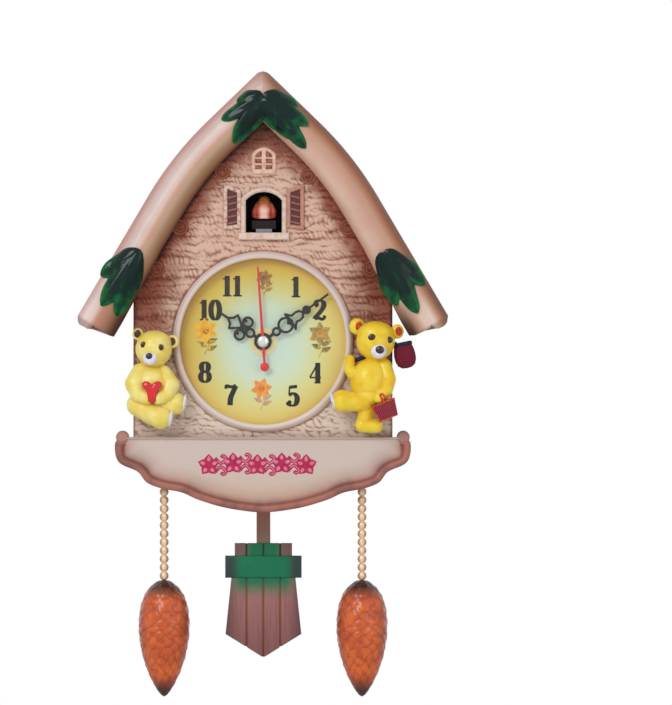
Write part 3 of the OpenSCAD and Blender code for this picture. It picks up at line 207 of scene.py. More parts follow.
magnet = Finish("sintered_magnet", 0.45, Metallic=0.6)
magnet.mottled(rgb(74, 75, 80), rgb(56, 57, 61), 0.8, 0.3, 0.03)
dress(magnet, "rotor", "pendulum_magnet", "speaker_magnet")


def wound_copper(name, axis):
    """Enamelled wire laid turn beside turn along an axis of the clock."""
    finish = Finish(name, 0.3, Metallic=0.7, Coat_Weight=0.5)
    turns = finish.calc("SINE", finish.times(getattr(finish, axis), 22))
    turns = finish.plus(finish.times(turns, 0.5), 0.5)
    finish.colour(finish.mix(turns, rgb(112, 52, 26), rgb(190, 104, 58)))
    return finish.relief(turns, 0.08)


dress(wound_copper("drive_winding", "z"), "drive_coil")
dress(wound_copper("flat_winding", "x"), "pendulum_coil")
dress(wound_copper("solenoid_winding", "y"), "bird_solenoid")

board = Finish("circuit_board_mask", 0.3, Coat_Weight=0.4)
tracks = board.fade(board.calc("SINE", board.times(board.plus(board.x, board.z), 2.6)), 0.5, 0.7)
board.colour(board.mix(tracks, rgb(22, 92, 58), rgb(52, 128, 78)))
board.relief(tracks, 0.05)
dress(board, "circuit_board", "chime_board")

jacket = Finish("cell_jacket", 0.25, Metallic=0.4, Coat_Weight=0.6)
jacket.mottled(rgb(214, 132, 40), rgb(196, 112, 30), (14, 1), 0.5, 0.01)
dress(jacket, "battery", "chime_batteries")


# Chime speaker
# A small paper-cone speaker in a pressed frame, glued behind the rings of holes in the rear cover.
# It plays the tune on the hour, driven from the chime board beside it.

paper_cone = Finish("pressed_paper", 0.85)
paper_cone.mottled(rgb(44, 43, 42), rgb(28, 27, 27), (0.7, 4), (0.5, 4), 0.12)
dress(paper_cone, "speaker")


# House shell
# The house front and side walls are one thin resin moulding, screwed to the rear cover from behind.
# It is sprayed in rosy brown at the top and sides and fades to a pale beige low down.

FRONT = 42.0


def make(name, points, faces, finish, body, slot, stands_for=(), sharp=42, **values):
    """One mesh piece from points given as (right, up, forward) in millimetres."""
    mesh = bpy.data.meshes.new(name)
    mesh.from_pydata([(x * MM, -f * MM, z * MM) for x, z, f in points], [], faces)
    for value, numbers in values.items():
        mesh.attributes.new(value, "FLOAT", "POINT").data.foreach_set("value", list(numbers))
    mesh.materials.append(finish.material)
    shape = bmesh.new()
    shape.from_mesh(mesh)
    bmesh.ops.remove_doubles(shape, verts=shape.verts, dist=1e-7)
    bmesh.ops.recalc_face_normals(shape, faces=shape.faces)
    shape.to_mesh(mesh)
    shape.free()
    mesh.shade_smooth()
    mesh.set_sharp_from_angle(angle=math.radians(sharp))
    piece = bpy.data.objects.new(name, mesh)
    bpy.context.collection.objects.link(piece)
    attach(piece, body)
    if stands_for:
        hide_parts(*stands_for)
    return piece


def attribute(finish, name):
    return finish.add("ShaderNodeAttribute", attribute_name=name).outputs["Fac"]


wall_paint = Finish("sprayed_wall", 0.62)
aside = wall_paint.plus(wall_paint.calc("ABSOLUTE", wall_paint.x),
                        wall_paint.times(wall_paint.grain(14), 30))
by_side = wall_paint.fade(aside, 58, 92)
under_log = attribute(wall_paint, "under")
blotchy = wall_paint.plus(under_log, wall_paint.times(wall_paint.minus(wall_paint.grain(9, 3), 0.5), 0.8))
side_share = wall_paint.calc("MAXIMUM", by_side, wall_paint.fade(blotchy, 0.15, 0.85))
middle_tone = wall_paint.ramp(wall_paint.z, -200, 30, (0, rgb(218, 200, 184)), (0.24, rgb(220, 200, 184)),
                              (0.42, rgb(212, 182, 162)), (0.62, rgb(212, 176, 156)),
                              (0.78, rgb(212, 180, 162)), (0.87, rgb(172, 116, 96)),
                              (0.93, rgb(116, 70, 58)), (1, rgb(84, 56, 50)))
side_tone = wall_paint.ramp(wall_paint.z, -200, 30, (0, rgb(218, 200, 186)), (0.2, rgb(206, 184, 168)),
                            (0.3, rgb(168, 116, 100)), (0.45, rgb(132, 70, 50)), (0.62, rgb(138, 76, 54)),
                            (0.8, rgb(144, 84, 64)), (1, rgb(84, 54, 48)))
wall_tone = wall_paint.mix(side_share, middle_tone, side_tone)
# Painted shadow: a dark band on the wall along the inner edge of the roof logs, strongest under the left log.
shadow_under_log_share = wall_paint.calc("MULTIPLY_ADD", wall_paint.fade(wall_paint.x, 14, -6), 0.6, 0.3)
wall_tone = wall_paint.tint(wall_tone, rgb(56, 38, 36), wall_paint.fade(under_log, 0.84, 0.97), shadow_under_log_share)
# Painted shadow: a darker strip on the wall just above the apron board.
wall_tone = wall_paint.tint(wall_tone, rgb(132, 104, 94),
                            wall_paint.fade(wall_paint.z, -184.5, -190.5), 0.3)
hollows = wall_paint.ramp(attribute(wall_paint, "relief"), 0, 1, (0, rgb(126, 84, 70)),
                          (0.45, rgb(198, 170, 158)), (0.8, rgb(255, 255, 255)))
wall_paint.colour(wall_paint.mix(1.0, wall_tone, hollows, "MULTIPLY"))
wall_paint.relief(wall_paint.grain(0.5, 3), 0.05)

case_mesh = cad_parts["front_case"].data
corners = np.array([(v.co.x / MM, v.co.z / MM, -v.co.y / MM) for v in case_mesh.vertices])
reaches = [corners[list(p.vertices), 2] for p in case_mesh.polygons]
kept = [tuple(p.vertices) for p, reach in zip(case_mesh.polygons, reaches)
        if reach.max() < FRONT + 0.05 and reach.min() < FRONT - 0.05]
make("house_shell", corners, kept, wall_paint, "case", "house_front", ["front_case"],
     relief=[0.8] * len(corners), under=[0.3] * len(corners))


# Wall relief
# The mould gives the front its carved bark look: rows of short slanted strokes, coarser at the sides.
# Sprayed paint stays lighter on the ridges and gathers dark in the grooves.

DIAL_Z = -127.7
WINDOW_X = 0.6
WALL_HALF, WALL_LOW, WALL_TOP = 86.3, -196, 34
RING_HOLE = 59.2
CARVING_DEPTH = 0.85
CELL = 0.6
LOG_R = 13.0
APEX_Z, APEX_R = 45, 7
STRAIGHT = 52.4
BOW_R = 220.0
PITCH_TOP = math.radians(46)
PITCH_LOW = math.radians(30.5)
BOW = (STRAIGHT * math.sin(PITCH_TOP) - (BOW_R + LOG_R) * math.cos(PITCH_TOP),
       APEX_Z + APEX_R / math.sin(PITCH_TOP) - STRAIGHT * math.cos(PITCH_TOP)
       - (BOW_R + LOG_R) * math.sin(PITCH_TOP))


def across_log(x, z):
    """Distance from the middle line of the nearer roof log, positive outwards."""
    angle = np.clip(np.arctan2(z - BOW[1], np.abs(x) - BOW[0]), PITCH_LOW, PITCH_TOP)
    return (np.abs(x) - BOW[0]) * np.cos(angle) + (z - BOW[1]) * np.sin(angle) - BOW_R


def uneven(x, z, seed):
    """Smooth uneven value between -1 and 1 that changes over about one unit."""
    table = np.random.default_rng(seed).uniform(-1, 1, (64, 64))
    i, j = np.floor(x).astype(int), np.floor(z).astype(int)
    s, t = x - i, z - j
    s, t = s * s * (3 - 2 * s), t * t * (3 - 2 * t)
    low = table[i % 64, j % 64] * (1 - s) + table[(i + 1) % 64, j % 64] * s
    high = table[i % 64, (j + 1) % 64] * (1 - s) + table[(i + 1) % 64, (j + 1) % 64] * s
    return low * (1 - t) + high * t


def lowness(z):
    """1 low on the wall, where the carving is finer, and 0 higher up."""
    return np.clip((-145 - z) / 14, 0, 1)


def carved(x, z):
    """Height of the carving, from 0 in a groove to 1 on a ridge."""
    low_part = lowness(z)
    drift = uneven(x / 13, z / 9, 1) * 2.6 + uneven(x / 5, z / 4, 2) * 1.3
    pitch = 4.5 - 0.9 * low_part
    row = (z + drift) / pitch
    share = row - np.floor(row)
    groove = 0.55 + 0.45 * uneven(x / 4.5, z / 3.5, 6)
    ridge = 1 - groove * (1 - np.sin(np.pi * share) ** 0.5)
    turn = np.where(np.floor(row) % 2 < 1, 1.0, 0.4)
    step = 3.2 + 3.2 * low_part
    along = (x + turn * (1.2 + 1.0 * low_part) * share * pitch + np.floor(row) * 1.7
             + uneven(x / 4, z / 4, 3) * 1.5) / step
    cut = 0.5 + 0.4 * uneven(x / 6, z / 5, 7)
    stroke = 1 - cut * (1 - np.abs(np.sin(np.pi * along)) ** 0.6)
    seam = np.abs(np.sin(np.pi * (z + 45.35 + uneven(x / 22, z / 22, 5) * 1.6) / 13.3)) ** 0.4
    course = 1 - (0.28 + 0.3 * np.clip((np.abs(x) - 40) / 20, 0, 1)) * (1 - low_part) * (1 - seam)
    return np.clip(ridge * stroke * course + 0.1 * uneven(x / 1.4, z / 1.4, 4), 0, 1)


def in_arch(x, z, half, top, low, rise, grow):
    """True inside an arched opening that is grown all round."""
    half, rise = half + grow, rise + grow
    radius = (half * half + rise * rise) / (2 * rise)
    roof = top + grow - radius + np.sqrt(np.maximum(radius ** 2 - x ** 2, 0))
    return (np.abs(x) < half) & (z < roof) & (z > low - grow)


columns = np.linspace(-WALL_HALF, WALL_HALF, int(2 * WALL_HALF / CELL) + 1)
rows = np.linspace(WALL_LOW, WALL_TOP, int((WALL_TOP - WALL_LOW) / CELL) + 1)
grid_x, grid_z = np.meshgrid(columns, rows)
carving = carved(grid_x, grid_z)
near_edge = np.clip((WALL_HALF - np.abs(grid_x)) / 3, 0, 1) ** 0.5
near_ring = np.clip((np.hypot(grid_x, grid_z - DIAL_Z) - RING_HOLE - 0.3) / 2.5, 0, 1)
carving *= near_edge * (0.25 + 0.75 * near_ring)
forward = FRONT + 0.04 + CARVING_DEPTH * carving
spot_x = (grid_x[:-1, :-1] + grid_x[1:, 1:]) / 2
spot_z = (grid_z[:-1, :-1] + grid_z[1:, 1:]) / 2
shown = (across_log(spot_x, spot_z) < -11.9) & (np.hypot(spot_x, spot_z - DIAL_Z) > RING_HOLE)
shown &= ~in_arch(spot_x - WINDOW_X, spot_z, 12.5, -27.5, -55.5, 5.2, 0.8)
number = np.arange(grid_x.size).reshape(grid_x.shape)
cells = np.stack([number[:-1, :-1], number[:-1, 1:], number[1:, 1:], number[1:, :-1]], -1)[shown]
used = np.unique(cells)
renumber = np.zeros(grid_x.size, int)
renumber[used] = np.arange(len(used))
wall_points = np.stack([grid_x.ravel()[used], grid_z.ravel()[used], forward.ravel()[used]], 1)
seen_relief = 1 - (1 - carving) * (1 - 0.1 * lowness(grid_z))
# How near a spot is to the roof logs: it carries the rosy spray beside them and the painted shadow along
# their inner edge.
under = np.clip((across_log(grid_x, grid_z) + 32) / 19, 0, 1) * np.clip((grid_z + 112) / 20, 0, 1)
make("carved_wall", wall_points, renumber[cells].tolist(), wall_paint, "case", "house_front",
     ["front_case"], 180, relief=seen_relief.ravel()[used], under=under.ravel()[used])


# Bird window
# The arched window frame and its sill stand proud of the wall and are painted a warm off-white.
# They belong to the same moulding, with rounded edges where the mould parts.


def lattice(rows, across, first=0, ring=True, loop=False, flip=False):
    """Faces between rows of points: a row may be a ring, and the last row may meet the first."""
    faces = []
    for i in range(rows if loop else rows - 1):
        for j in range(across if ring else across - 1):
            a, b, k = first + i * across, first + (i + 1) % rows * across, (j + 1) % across
            faces.append((a + j, b + j, b + k, a + k) if flip else (a + j, a + k, b + k, b + j))
    return faces


def end_faces(rows, across):
    """Faces that close the first and the last ring."""
    return [tuple(range(across)), tuple(range((rows - 1) * across, rows * across))]


def moulding(path, section, closed=False):
    """A section (outwards, forward) carried along a path on the front with mitred corners.

    Along an open path the section is that of a solid bar. Round a closed one it is the edge of a plate.
    """
    points = []
    path = [np.array(p, float) for p in path]
    count, width = len(path), len(section)
    for i, p in enumerate(path):
        before = path[i - 1] if closed or i > 0 else 2 * p - path[i + 1]
        after = path[(i + 1) % count] if closed or i < count - 1 else 2 * p - path[i - 1]
        a, b = (p - before) / np.linalg.norm(p - before), (after - p) / np.linalg.norm(after - p)
        left = np.array([-a[1] - b[1], a[0] + b[0]]) / (1 + a @ b)
        points += [(p[0] + o * left[0], p[1] + o * left[1], f) for o, f in section]
    faces = lattice(count, width, ring=not closed, loop=closed)
    plate = [tuple(range(0, count * width, width)), tuple(range(width - 1, count * width, width))]
    return points, faces + (plate if closed else end_faces(count, width))


def slab(outline, back, front, round_edge):
    """A plate whose anticlockwise outline runs from back to front, with its front edge rounded."""
    rings = [(0, back), (0, front - round_edge)]
    rings += [(round_edge * (1 - math.cos(t)), front - round_edge * (1 - math.sin(t)))
              for t in (0.5, 1.0, 1.57)]
    return moulding(outline, rings, True)


def oblong(left, low, right, high):
    return [(left, low), (right, low), (right, high), (left, high)]


def joined(*parts):
    """Several (points, faces) as one."""
    points, faces = [], []
    for some_points, some_faces in parts:
        faces += [tuple(v + len(points) for v in face) for face in some_faces]
        points += list(some_points)
    return points, faces


def arch_path(half, low, top, rise):
    """Jamb, arch and jamb of an opening on the windows' middle line, from lower left round to lower right."""
    radius = (half * half + rise * rise) / (2 * rise)
    turn = math.asin(half / radius)
    arc = [(WINDOW_X + radius * math.sin(a), top - radius + radius * math.cos(a))
           for a in np.linspace(-turn, turn, 15)]
    return [(WINDOW_X - half, low)] + arc + [(WINDOW_X + half, low)]


BED = FRONT - 0.1
trim_paint = Finish("window_trim", 0.5)
trim_paint.mottled(rgb(222, 198, 184), rgb(206, 168, 148), (3.2, 3), (0.9, 3), 0.08, (0.45, 0.72))

frame_section = [(-0.4, 39.9), (-0.4, 43.8), (0.0, 44.8), (0.8, 45.4), (1.7, 45.4), (2.5, 44.8),
                 (2.9, 43.8), (2.9, BED)]
window_trim = moulding(arch_path(12.4, -55.5, -27.7, 5.8), frame_section)
sill = slab(oblong(-16.3, -60.0, 17.5, -55.1), BED, 46.4, 1.5)
make("window_frame", *joined(window_trim, sill), trim_paint, "case", "house_front", ["front_case"])


# Shutters
# Each open shutter is a pale frame round a sunk maroon panel with slanted louvre slats.
# They are cast in the same moulding, the outer edge standing higher than the one by the window.

shutter_pale = Finish("shutter_frame", 0.55)
# Painted light and shade: the left shutter's frame is painted pale and the right one's darker.
frame_tone_lit_and_shaded = shutter_pale.mix(shutter_pale.fade(shutter_pale.x, -5, 5), rgb(220, 190, 174),
                             rgb(190, 140, 122))
rubbed = shutter_pale.fade(shutter_pale.grain(2.5, 3), 0.4, 0.7)
shutter_pale.colour(shutter_pale.mix(rubbed, frame_tone_lit_and_shaded, rgb(172, 120, 104)))
shutter_pale.relief(shutter_pale.grain(0.8, 3), 0.1)
shutter_dark = Finish("shutter_panel", 0.6)
shutter_dark.mottled(rgb(112, 66, 66), rgb(72, 40, 44), (1.6, 3), (0.6, 3), 0.08)
slat_paint = Finish("shutter_slats", 0.5)
slat_paint.mottled(rgb(164, 112, 104), rgb(116, 70, 68), (1.2, 3), (0.5, 3), 0.08)


def to_side(outline, side, middle=0.0):
    """An anticlockwise outline that is drawn on the right, put on either side of a middle line."""
    return [(middle + side * x, z) for x, z in (outline if side > 0 else outline[::-1])]


SLANT, SLAT_H, SLAT_STEP = 1.5, 1.5, 4.3
shutter = [(15.2, -52), (26.9, -53.5), (26.9, -22.3), (15.2, -26.8)]
rim_section = [(0, BED), (0, 43.9), (0.4, 44.6), (1.2, 44.8), (2.0, 44.6), (2.5, 44.0), (2.7, 43.05)]
width = len(rim_section)
rims, panels, slats = [], [], []
for side in (-1, 1):
    points, faces = moulding(to_side(shutter, side, WINDOW_X), rim_section, True)
    rims.append((points, faces[:-1]))
    panels.append((points[width - 1::width], [(0, 1, 2, 3)]))
    for z in -48.6 + SLAT_STEP * np.arange(5):
        bar = [(18.0, z), (24.1, z - SLANT), (24.1, z - SLANT + SLAT_H), (18.0, z + SLAT_H)]
        slats.append(slab(to_side(bar, side, WINDOW_X), 42.9, 43.9, 0.5))
make("shutter_frames", *joined(*rims), shutter_pale, "case", "house_front", ["front_case"])
make("shutter_panels", *joined(*panels), shutter_dark, "case", "house_front", ["front_case"])
make("shutter_slats", *joined(*slats), slat_paint, "case", "house_front", ["front_case"])


# Attic window
# A blind little window under the apex, pressed into the same moulding.
# An arched rim and thick rounded bars stand round two by three sunk panes.

attic_trim = [(-0.7, BED), (-0.7, 43.3), (-0.2, 43.9), (0.6, 44.1), (1.4, 43.7), (1.8, 42.9), (1.8, BED)]
rim = moulding(arch_path(6.4, -15.1, 0.0, 3.9), attic_trim)
bars = [slab(oblong(WINDOW_X - 1.4, -15.2, WINDOW_X + 1.4, 0.0), BED, 43.7, 0.6)]
for z, half, half_high in ((-14.4, 8.1, 1.5), (-9.6, 6.7, 0.6), (-5.4, 6.7, 0.6)):
    bar = oblong(WINDOW_X - half, z - half_high, WINDOW_X + half, z + half_high)
    bars.append(slab(bar, BED, 43.65, 0.5))
attic_paint = Finish("attic_trim", 0.55)
attic_paint.mottled(rgb(226, 190, 170), rgb(204, 156, 134), (3.5, 3), (0.9, 3), 0.08, (0.4, 0.75))
make("attic_window", *joined(rim, *bars), attic_paint, "case", "house_front", ["front_case"])
panes = slab(arch_path(6.2, -15, 0.2, 3.8)[::-1], BED, 42.95, 0.1)
pane_paint = Finish("attic_panes", 0.6)
pane_paint.mottled(rgb(160, 106, 86), rgb(112, 66, 52), (1.8, 3), (0.9, 3), 0.16, (0.4, 0.65))
make("attic_panes", *panes, pane_paint, "case", "house_front", ["front_case"])


# Log ends
# The ends of the wall logs show as small ringed discs half under each roof log.
# They are part of the same moulding, so the spray darkens their rings like the wall's grooves.


def whole_turn(steps):
    return np.linspace(0, 2 * math.pi, steps, endpoint=False)


def lathe(profile, middle_x, middle_z, steps=48, ring=False):
    """A profile of (radius, forward) turned about an axis that points forward."""
    points = [(middle_x + radius * math.cos(a), middle_z + radius * math.sin(a), f)
              for radius, f in profile for a in whole_turn(steps)]
    return points, lattice(len(profile), steps, loop=ring)


end_rings = [(5.6, BED, 0), (5.6, 42.7, 0.2), (5.0, 43.15, 0.7), (4.2, 43.15, 0.75), (3.6, 42.75, 0.3),
             (3.0, 43.0, 0.65), (2.2, 43.0, 0.65), (1.5, 42.65, 0.25), (0.0, 42.8, 0.5)]
places = [(-27.0, -14.2), (-55.2, -51.8), (-70.6, -79.5), (30.2, -17.6), (56.6, -51.6), (71.4, -79.5)]
discs = [lathe([ring[:2] for ring in end_rings], x, z) for x, z in places]
depths = [ring[2] for ring in end_rings for _ in range(48)] * len(places)
make("log_ends", *joined(*discs), wall_paint, "case", "house_front", ["front_case"], relief=depths,
     under=[0.8] * len(depths))


# Dial ring
# A smooth rounded ring of the same moulding frames the dial and holds the edge of its clear dome.
# It is sprayed a pale rosy white, with a painted highlight that makes it a little lighter low on the right.

ring_paint = Finish("dial_ring_paint", 0.42)
# Painted highlight: the ring grows a little lighter towards its lower right.
leaning = ring_paint.plus(ring_paint.z, ring_paint.times(ring_paint.x, -0.5))
ring_paint.colour(ring_paint.ramp(leaning, -200, -60, (0, rgb(224, 206, 196)), (0.35, rgb(216, 200, 192)),
                                  (0.7, rgb(210, 192, 184)), (1, rgb(212, 196, 188))))
ring_paint.relief(ring_paint.grain(1.4, 3), 0.03)
ring_profile = [(57.9, 38.7), (60.15, 38.7), (60.2, 41.9), (60.1, 42.9), (59.6, 44.0), (58.9, 45.2),
                (58.2, 46.0), (57.4, 46.4), (56.5, 46.45), (55.9, 46.2), (55.45, 45.7), (55.3, 45.1),
                (55.3, 44.55), (57.9, 44.55)]
make("dial_ring", *lathe(ring_profile, 0, DIAL_Z, 160, True), ring_paint, "case", "house_front",
     ["front_case"])


# Dial
# A printed card disc: pale green in the middle, golden towards the edge, with bold black numerals.
# Small flower sprigs take the places of twelve, three, six and nine.

dial_card = Finish("dial_print", 0.5, Coat_Weight=0.3)
up = dial_card.minus(dial_card.z, DIAL_Z)
out = dial_card.calc("SQRT", dial_card.plus(dial_card.times(dial_card.x, dial_card.x),
                                            dial_card.times(up, up)))
golden = dial_card.ramp(out, 0, 58, (0, rgb(198, 218, 208)), (0.4, rgb(198, 214, 186)),
                        (0.6, rgb(204, 196, 120)), (0.78, rgb(206, 178, 62)), (0.95, rgb(210, 158, 16)))
pale = dial_card.ramp(out, 0, 58, (0, rgb(198, 218, 210)), (0.42, rgb(204, 222, 196)),
                      (0.62, rgb(214, 216, 152)), (0.78, rgb(222, 208, 120)), (0.95, rgb(228, 196, 90)))
leaning = dial_card.minus(dial_card.times(dial_card.x, 0.6), dial_card.times(up, 0.8))
dial_card.colour(dial_card.mix(dial_card.fade(leaning, -40, 34), golden, pale))
dial_card.relief(dial_card.grain(0.6, 3), 0.004)
dress(dial_card, "dial_plate")

PRINT_F = 38.64


def curve(knots, steps):
    """A smooth curve through the inner knots, up to the last of them but without it."""
    knots, line = [np.array(k, float) for k in knots], []
    for a, b, c, d in zip(knots, knots[1:], knots[2:], knots[3:]):
        line += [0.5 * (2 * b + (c - a) * t + (2 * a - 5 * b + 4 * c - d) * t * t
                        + (3 * b - a - 3 * c + d) * t ** 3)
                 for t in np.linspace(0, 1, steps, endpoint=False)]
    return line


def smooth_line(knots):
    """A curve through all the knots that runs out straight at both ends."""
    knots = [np.array(k, float) for k in knots]
    return curve([2 * knots[0] - knots[1], *knots, 2 * knots[-1] - knots[-2]], 7) + [knots[-1]]


def pen(line, thin, thick, f):
    """A flat stroke as a broad pen draws it: thick where it runs upright and thin where it runs level."""
    line = np.array(line)
    ways = np.gradient(line, axis=0)
    ways /= np.linalg.norm(ways, axis=1)[:, None] + 1e-9
    half = (thin + (thick - thin) * np.abs(ways[:, 1]) ** 1.3) / 2
    left = np.stack([-ways[:, 1], ways[:, 0]], 1) * half[:, None]
    points = [(x, z, f) for x, z in np.concatenate([line + left, line - left])]
    n = len(line)
    return points, [(i, i + 1, n + i + 1, n + i) for i in range(n - 1)]


def spot(x, z, radius, f):
    """A flat printed dot."""
    ring = [(x + radius * math.cos(a), z + radius * math.sin(a), f) for a in whole_turn(14)]
    return ring, [tuple(range(14))]


def ring_line(x, z, half_x, half_z):
    return [(x + half_x * math.sin(a), z + half_z * math.cos(a)) for a in np.linspace(0, 2 * math.pi, 25)]


SERIF = 0.08
DIGITS = {
    "0": (0.62, [("pen", ring_line(0.31, 0.5, 0.21, 0.46))], []),
    "1": (0.5, [("bar", [(0.27, 0), (0.27, 1)]), ("thin", [(0.06, 0.03), (0.48, 0.03)]),
                ("thin", [(0.27, 0.95), (0.2, 0.88), (0.06, 0.84)])], []),
    "2": (0.62,
          [("pen", smooth_line([(0.12, 0.72), (0.15, 0.9), (0.31, 0.97), (0.48, 0.86), (0.48, 0.66),
                                (0.33, 0.42), (0.12, 0.18), (0.06, 0.05)])),
           ("wide", smooth_line([(0.06, 0.07), (0.22, 0.12), (0.38, 0.06), (0.5, 0.1), (0.55, 0.24)]))],
          [(0.14, 0.73)]),
    "4": (0.62, [("bar", [(0.42, 0), (0.42, 1)]), ("thin", [(0.42, 0.98), (0.24, 0.64), (0.04, 0.3)]),
                 ("thin", [(0.03, 0.28), (0.58, 0.28)]), ("thin", [(0.26, 0.03), (0.56, 0.03)])], []),
    "5": (0.6, [("thin", [(0.13, 0.95), (0.11, 0.53)]), ("wide", [(0.12, 0.93), (0.3, 0.94), (0.5, 0.97)]),
                ("pen", smooth_line([(0.11, 0.53), (0.3, 0.63), (0.47, 0.5), (0.5, 0.3), (0.42, 0.1),
                                     (0.25, 0.03), (0.1, 0.1), (0.1, 0.2)]))], [(0.13, 0.2)]),
    "7": (0.6, [("wide", smooth_line([(0.05, 0.8), (0.08, 0.94), (0.25, 0.9), (0.4, 0.9), (0.54, 0.98)])),
                ("pen", smooth_line([(0.54, 0.95), (0.38, 0.6), (0.28, 0.35), (0.25, 0.0)]))], []),
    "8": (0.62, [("pen", ring_line(0.31, 0.74, 0.17, 0.22)), ("pen", ring_line(0.31, 0.27, 0.21, 0.25))],
          []),
}
NIBS = {"pen": (0.09, 0.265), "bar": (0.25, 0.25), "thin": (SERIF, SERIF), "wide": (0.16, 0.16)}
DIGIT_H = 13.7


def numeral(text, middle_x, middle_z, f):
    """Strokes of a number, set about its middle."""
    total = sum(DIGITS[c][0] for c in text)
    left, parts = middle_x - total * DIGIT_H / 2, []
    for c in text:
        width, strokes, balls = DIGITS[c]
        for nib, line in strokes:
            placed = [(left + x * DIGIT_H, middle_z + (z - 0.5) * DIGIT_H) for x, z in line]
            parts.append(pen(placed, NIBS[nib][0] * DIGIT_H, NIBS[nib][1] * DIGIT_H, f))
        parts += [spot(left + x * DIGIT_H, middle_z + (z - 0.5) * DIGIT_H, 1.35, f) for x, z in balls]
        left += width * DIGIT_H
    return joined(*parts)


PLACES = [("11", -20.7, -90.7), ("1", 21.7, -91.3), ("10", -35.3, -106.7), ("2", 38, -106.7),
          ("8", -38.7, -148), ("4", 35, -148.7), ("7", -21.3, -163.3), ("5", 20, -164)]
ink = Finish("numeral_ink", 0.7, Specular_IOR_Level=0.05)
ink.colour(ink.ramp(ink.z, -170, -85, (0, rgb(16, 12, 12)), (0.6, rgb(26, 16, 10)), (1, rgb(52, 32, 16))))
ink.relief(ink.grain(0.5), 0.003)
make("numerals", *joined(*[numeral(t, x, z, PRINT_F + 0.002 * i) for i, (t, x, z) in enumerate(PLACES)]),
     ink, "case", "dial_card")


def petal(x, z, length, width, turn, f):
    """A flat petal that points away from (x, z)."""
    outline = []
    for t in np.linspace(0, 1, 9):
        outline.append((length * t, width / 2 * math.sin(math.pi * t ** 0.8)))
    outline += [(a, -b) for a, b in outline[-2:0:-1]]
    c, s = math.cos(turn), math.sin(turn)
    return [(x + a * c - b * s, z + a * s + b * c, f) for a, b in outline], [tuple(range(len(outline)))]


def printed(name, light, deep):
    """Flat ink or thin paint that wanders a little between two shades."""
    return Finish(name, 0.5).mottled(light, deep, (1.8, 3), 0.5, 0.003, (0.38, 0.64))


SPRIGS = {
    "twelve": (1.0, -88.0, 1.3, 0.3, rgb(178, 132, 56), rgb(146, 98, 44), rgb(150, 128, 60),
               rgb(104, 66, 34)),
    "three": (38.0, -126.4, 1.75, -0.5, rgb(200, 158, 62), rgb(132, 124, 60), rgb(92, 98, 54),
              rgb(222, 150, 40)),
    "six": (-1.0, -162.6, 1.6, 0.2, rgb(240, 158, 52), rgb(226, 128, 38), rgb(142, 160, 158),
            rgb(180, 92, 30)),
    "nine": (-38.5, -124.6, 1.9, 0.6, rgb(238, 184, 22), rgb(226, 156, 14), rgb(110, 100, 40),
             rgb(70, 46, 22)),
}
for hour, (x, z, size, lean, light, deep, green, middle) in SPRIGS.items():
    blossom, foliage = [], []
    for i in range(6):
        blossom.append(petal(x, z + 2.2 * size, 4.6 * size, 2.9 * size, lean + math.pi / 3 * i,
                             PRINT_F + 0.01 + 0.001 * i))
    stalk = smooth_line([(x + a * size, z + b * size) for a, b in ((0, 1.6), (1.2, -2.4), (-0.4, -6.6))])
    foliage.append(pen(stalk, 0.6, 0.6, PRINT_F))
    for side, drop in ((-1, 2.2), (1, 3.4), (-1, 4.6)):
        foliage.append(petal(x + 0.5 * size, z - drop * size, 4.2 * size, 2.0 * size,
                             math.pi / 2 + side * 1.15, PRINT_F + 0.004))
    make("blossom_at_" + hour, *joined(*blossom), printed("blossom_print_" + hour, light, deep), "case",
         "dial_card")
    make("foliage_at_" + hour, *joined(*foliage), printed("foliage_print_" + hour, green, light), "case",
         "dial_card")
    make("blossom_heart_at_" + hour, *spot(x, z + 2.2 * size, 1.3 * size, PRINT_F + 0.03),
         printed("heart_print_" + hour, middle, deep), "case", "dial_card")

brass = Finish("polished_brass", 0.3, Metallic=0.8)
brass.mottled(rgb(228, 216, 164), rgb(208, 190, 132), 2, (0.3, 2, (1, 1, 5)), 0.01)
dress(brass, "dial_washer", "dial_nut", "threaded_bush", "chain_hooks")


# Hands
# The hour and minute hands are stamped from black enamelled aluminium with pierced rings.
# The second hand is red, with a round tail and a silvery domed cap over its hub.

hand_black = Finish("black_enamel", 0.45, Specular_IOR_Level=0.1)
hand_black.mottled(rgb(30, 20, 16), rgb(18, 12, 10), 2, 0.4, 0.005)


def bolder(name, grow, body):
    """A hand with its pierced outline grown a little, to match the bold strokes of the real hands."""
    shape = bmesh.new()
    shape.from_mesh(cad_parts[name].data)
    shape.transform(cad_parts[name].matrix_world)
    bmesh.ops.remove_doubles(shape, verts=shape.verts, dist=1e-6)
    shape.normal_update()
    moves = []
    for v in shape.verts:
        out = sum((face.normal for face in v.link_faces if abs(face.normal.y) < 0.5), mathutils.Vector())
        out.y = 0
        moves.append(out.normalized() * grow * MM if out.length > 1e-6 else mathutils.Vector())
    for v, move in zip(shape.verts, moves):
        v.co += move
    points = [(v.co.x / MM, v.co.z / MM, -v.co.y / MM) for v in shape.verts]
    make(name + "_enamelled", points, [[v.index for v in face.verts] for face in shape.faces], hand_black,
         body, "hand_black", [name])
    shape.free()


GROWN = 0.28
bolder("hour_hand", GROWN, "hour")
bolder("minute_hand", GROWN, "minute")

needle_red = Finish("red_enamel", 0.35)
needle_red.mottled(rgb(222, 44, 34), rgb(196, 32, 28), 2, 0.4, 0.005)


def turned(points, degrees):
    """Points that were drawn at twelve, turned anticlockwise about the dial's middle."""
    c, s = math.cos(math.radians(degrees)), math.sin(math.radians(degrees))
    return [(x * c - z * s, DIAL_Z + x * s + z * c, *rest) for x, z, *rest in points]


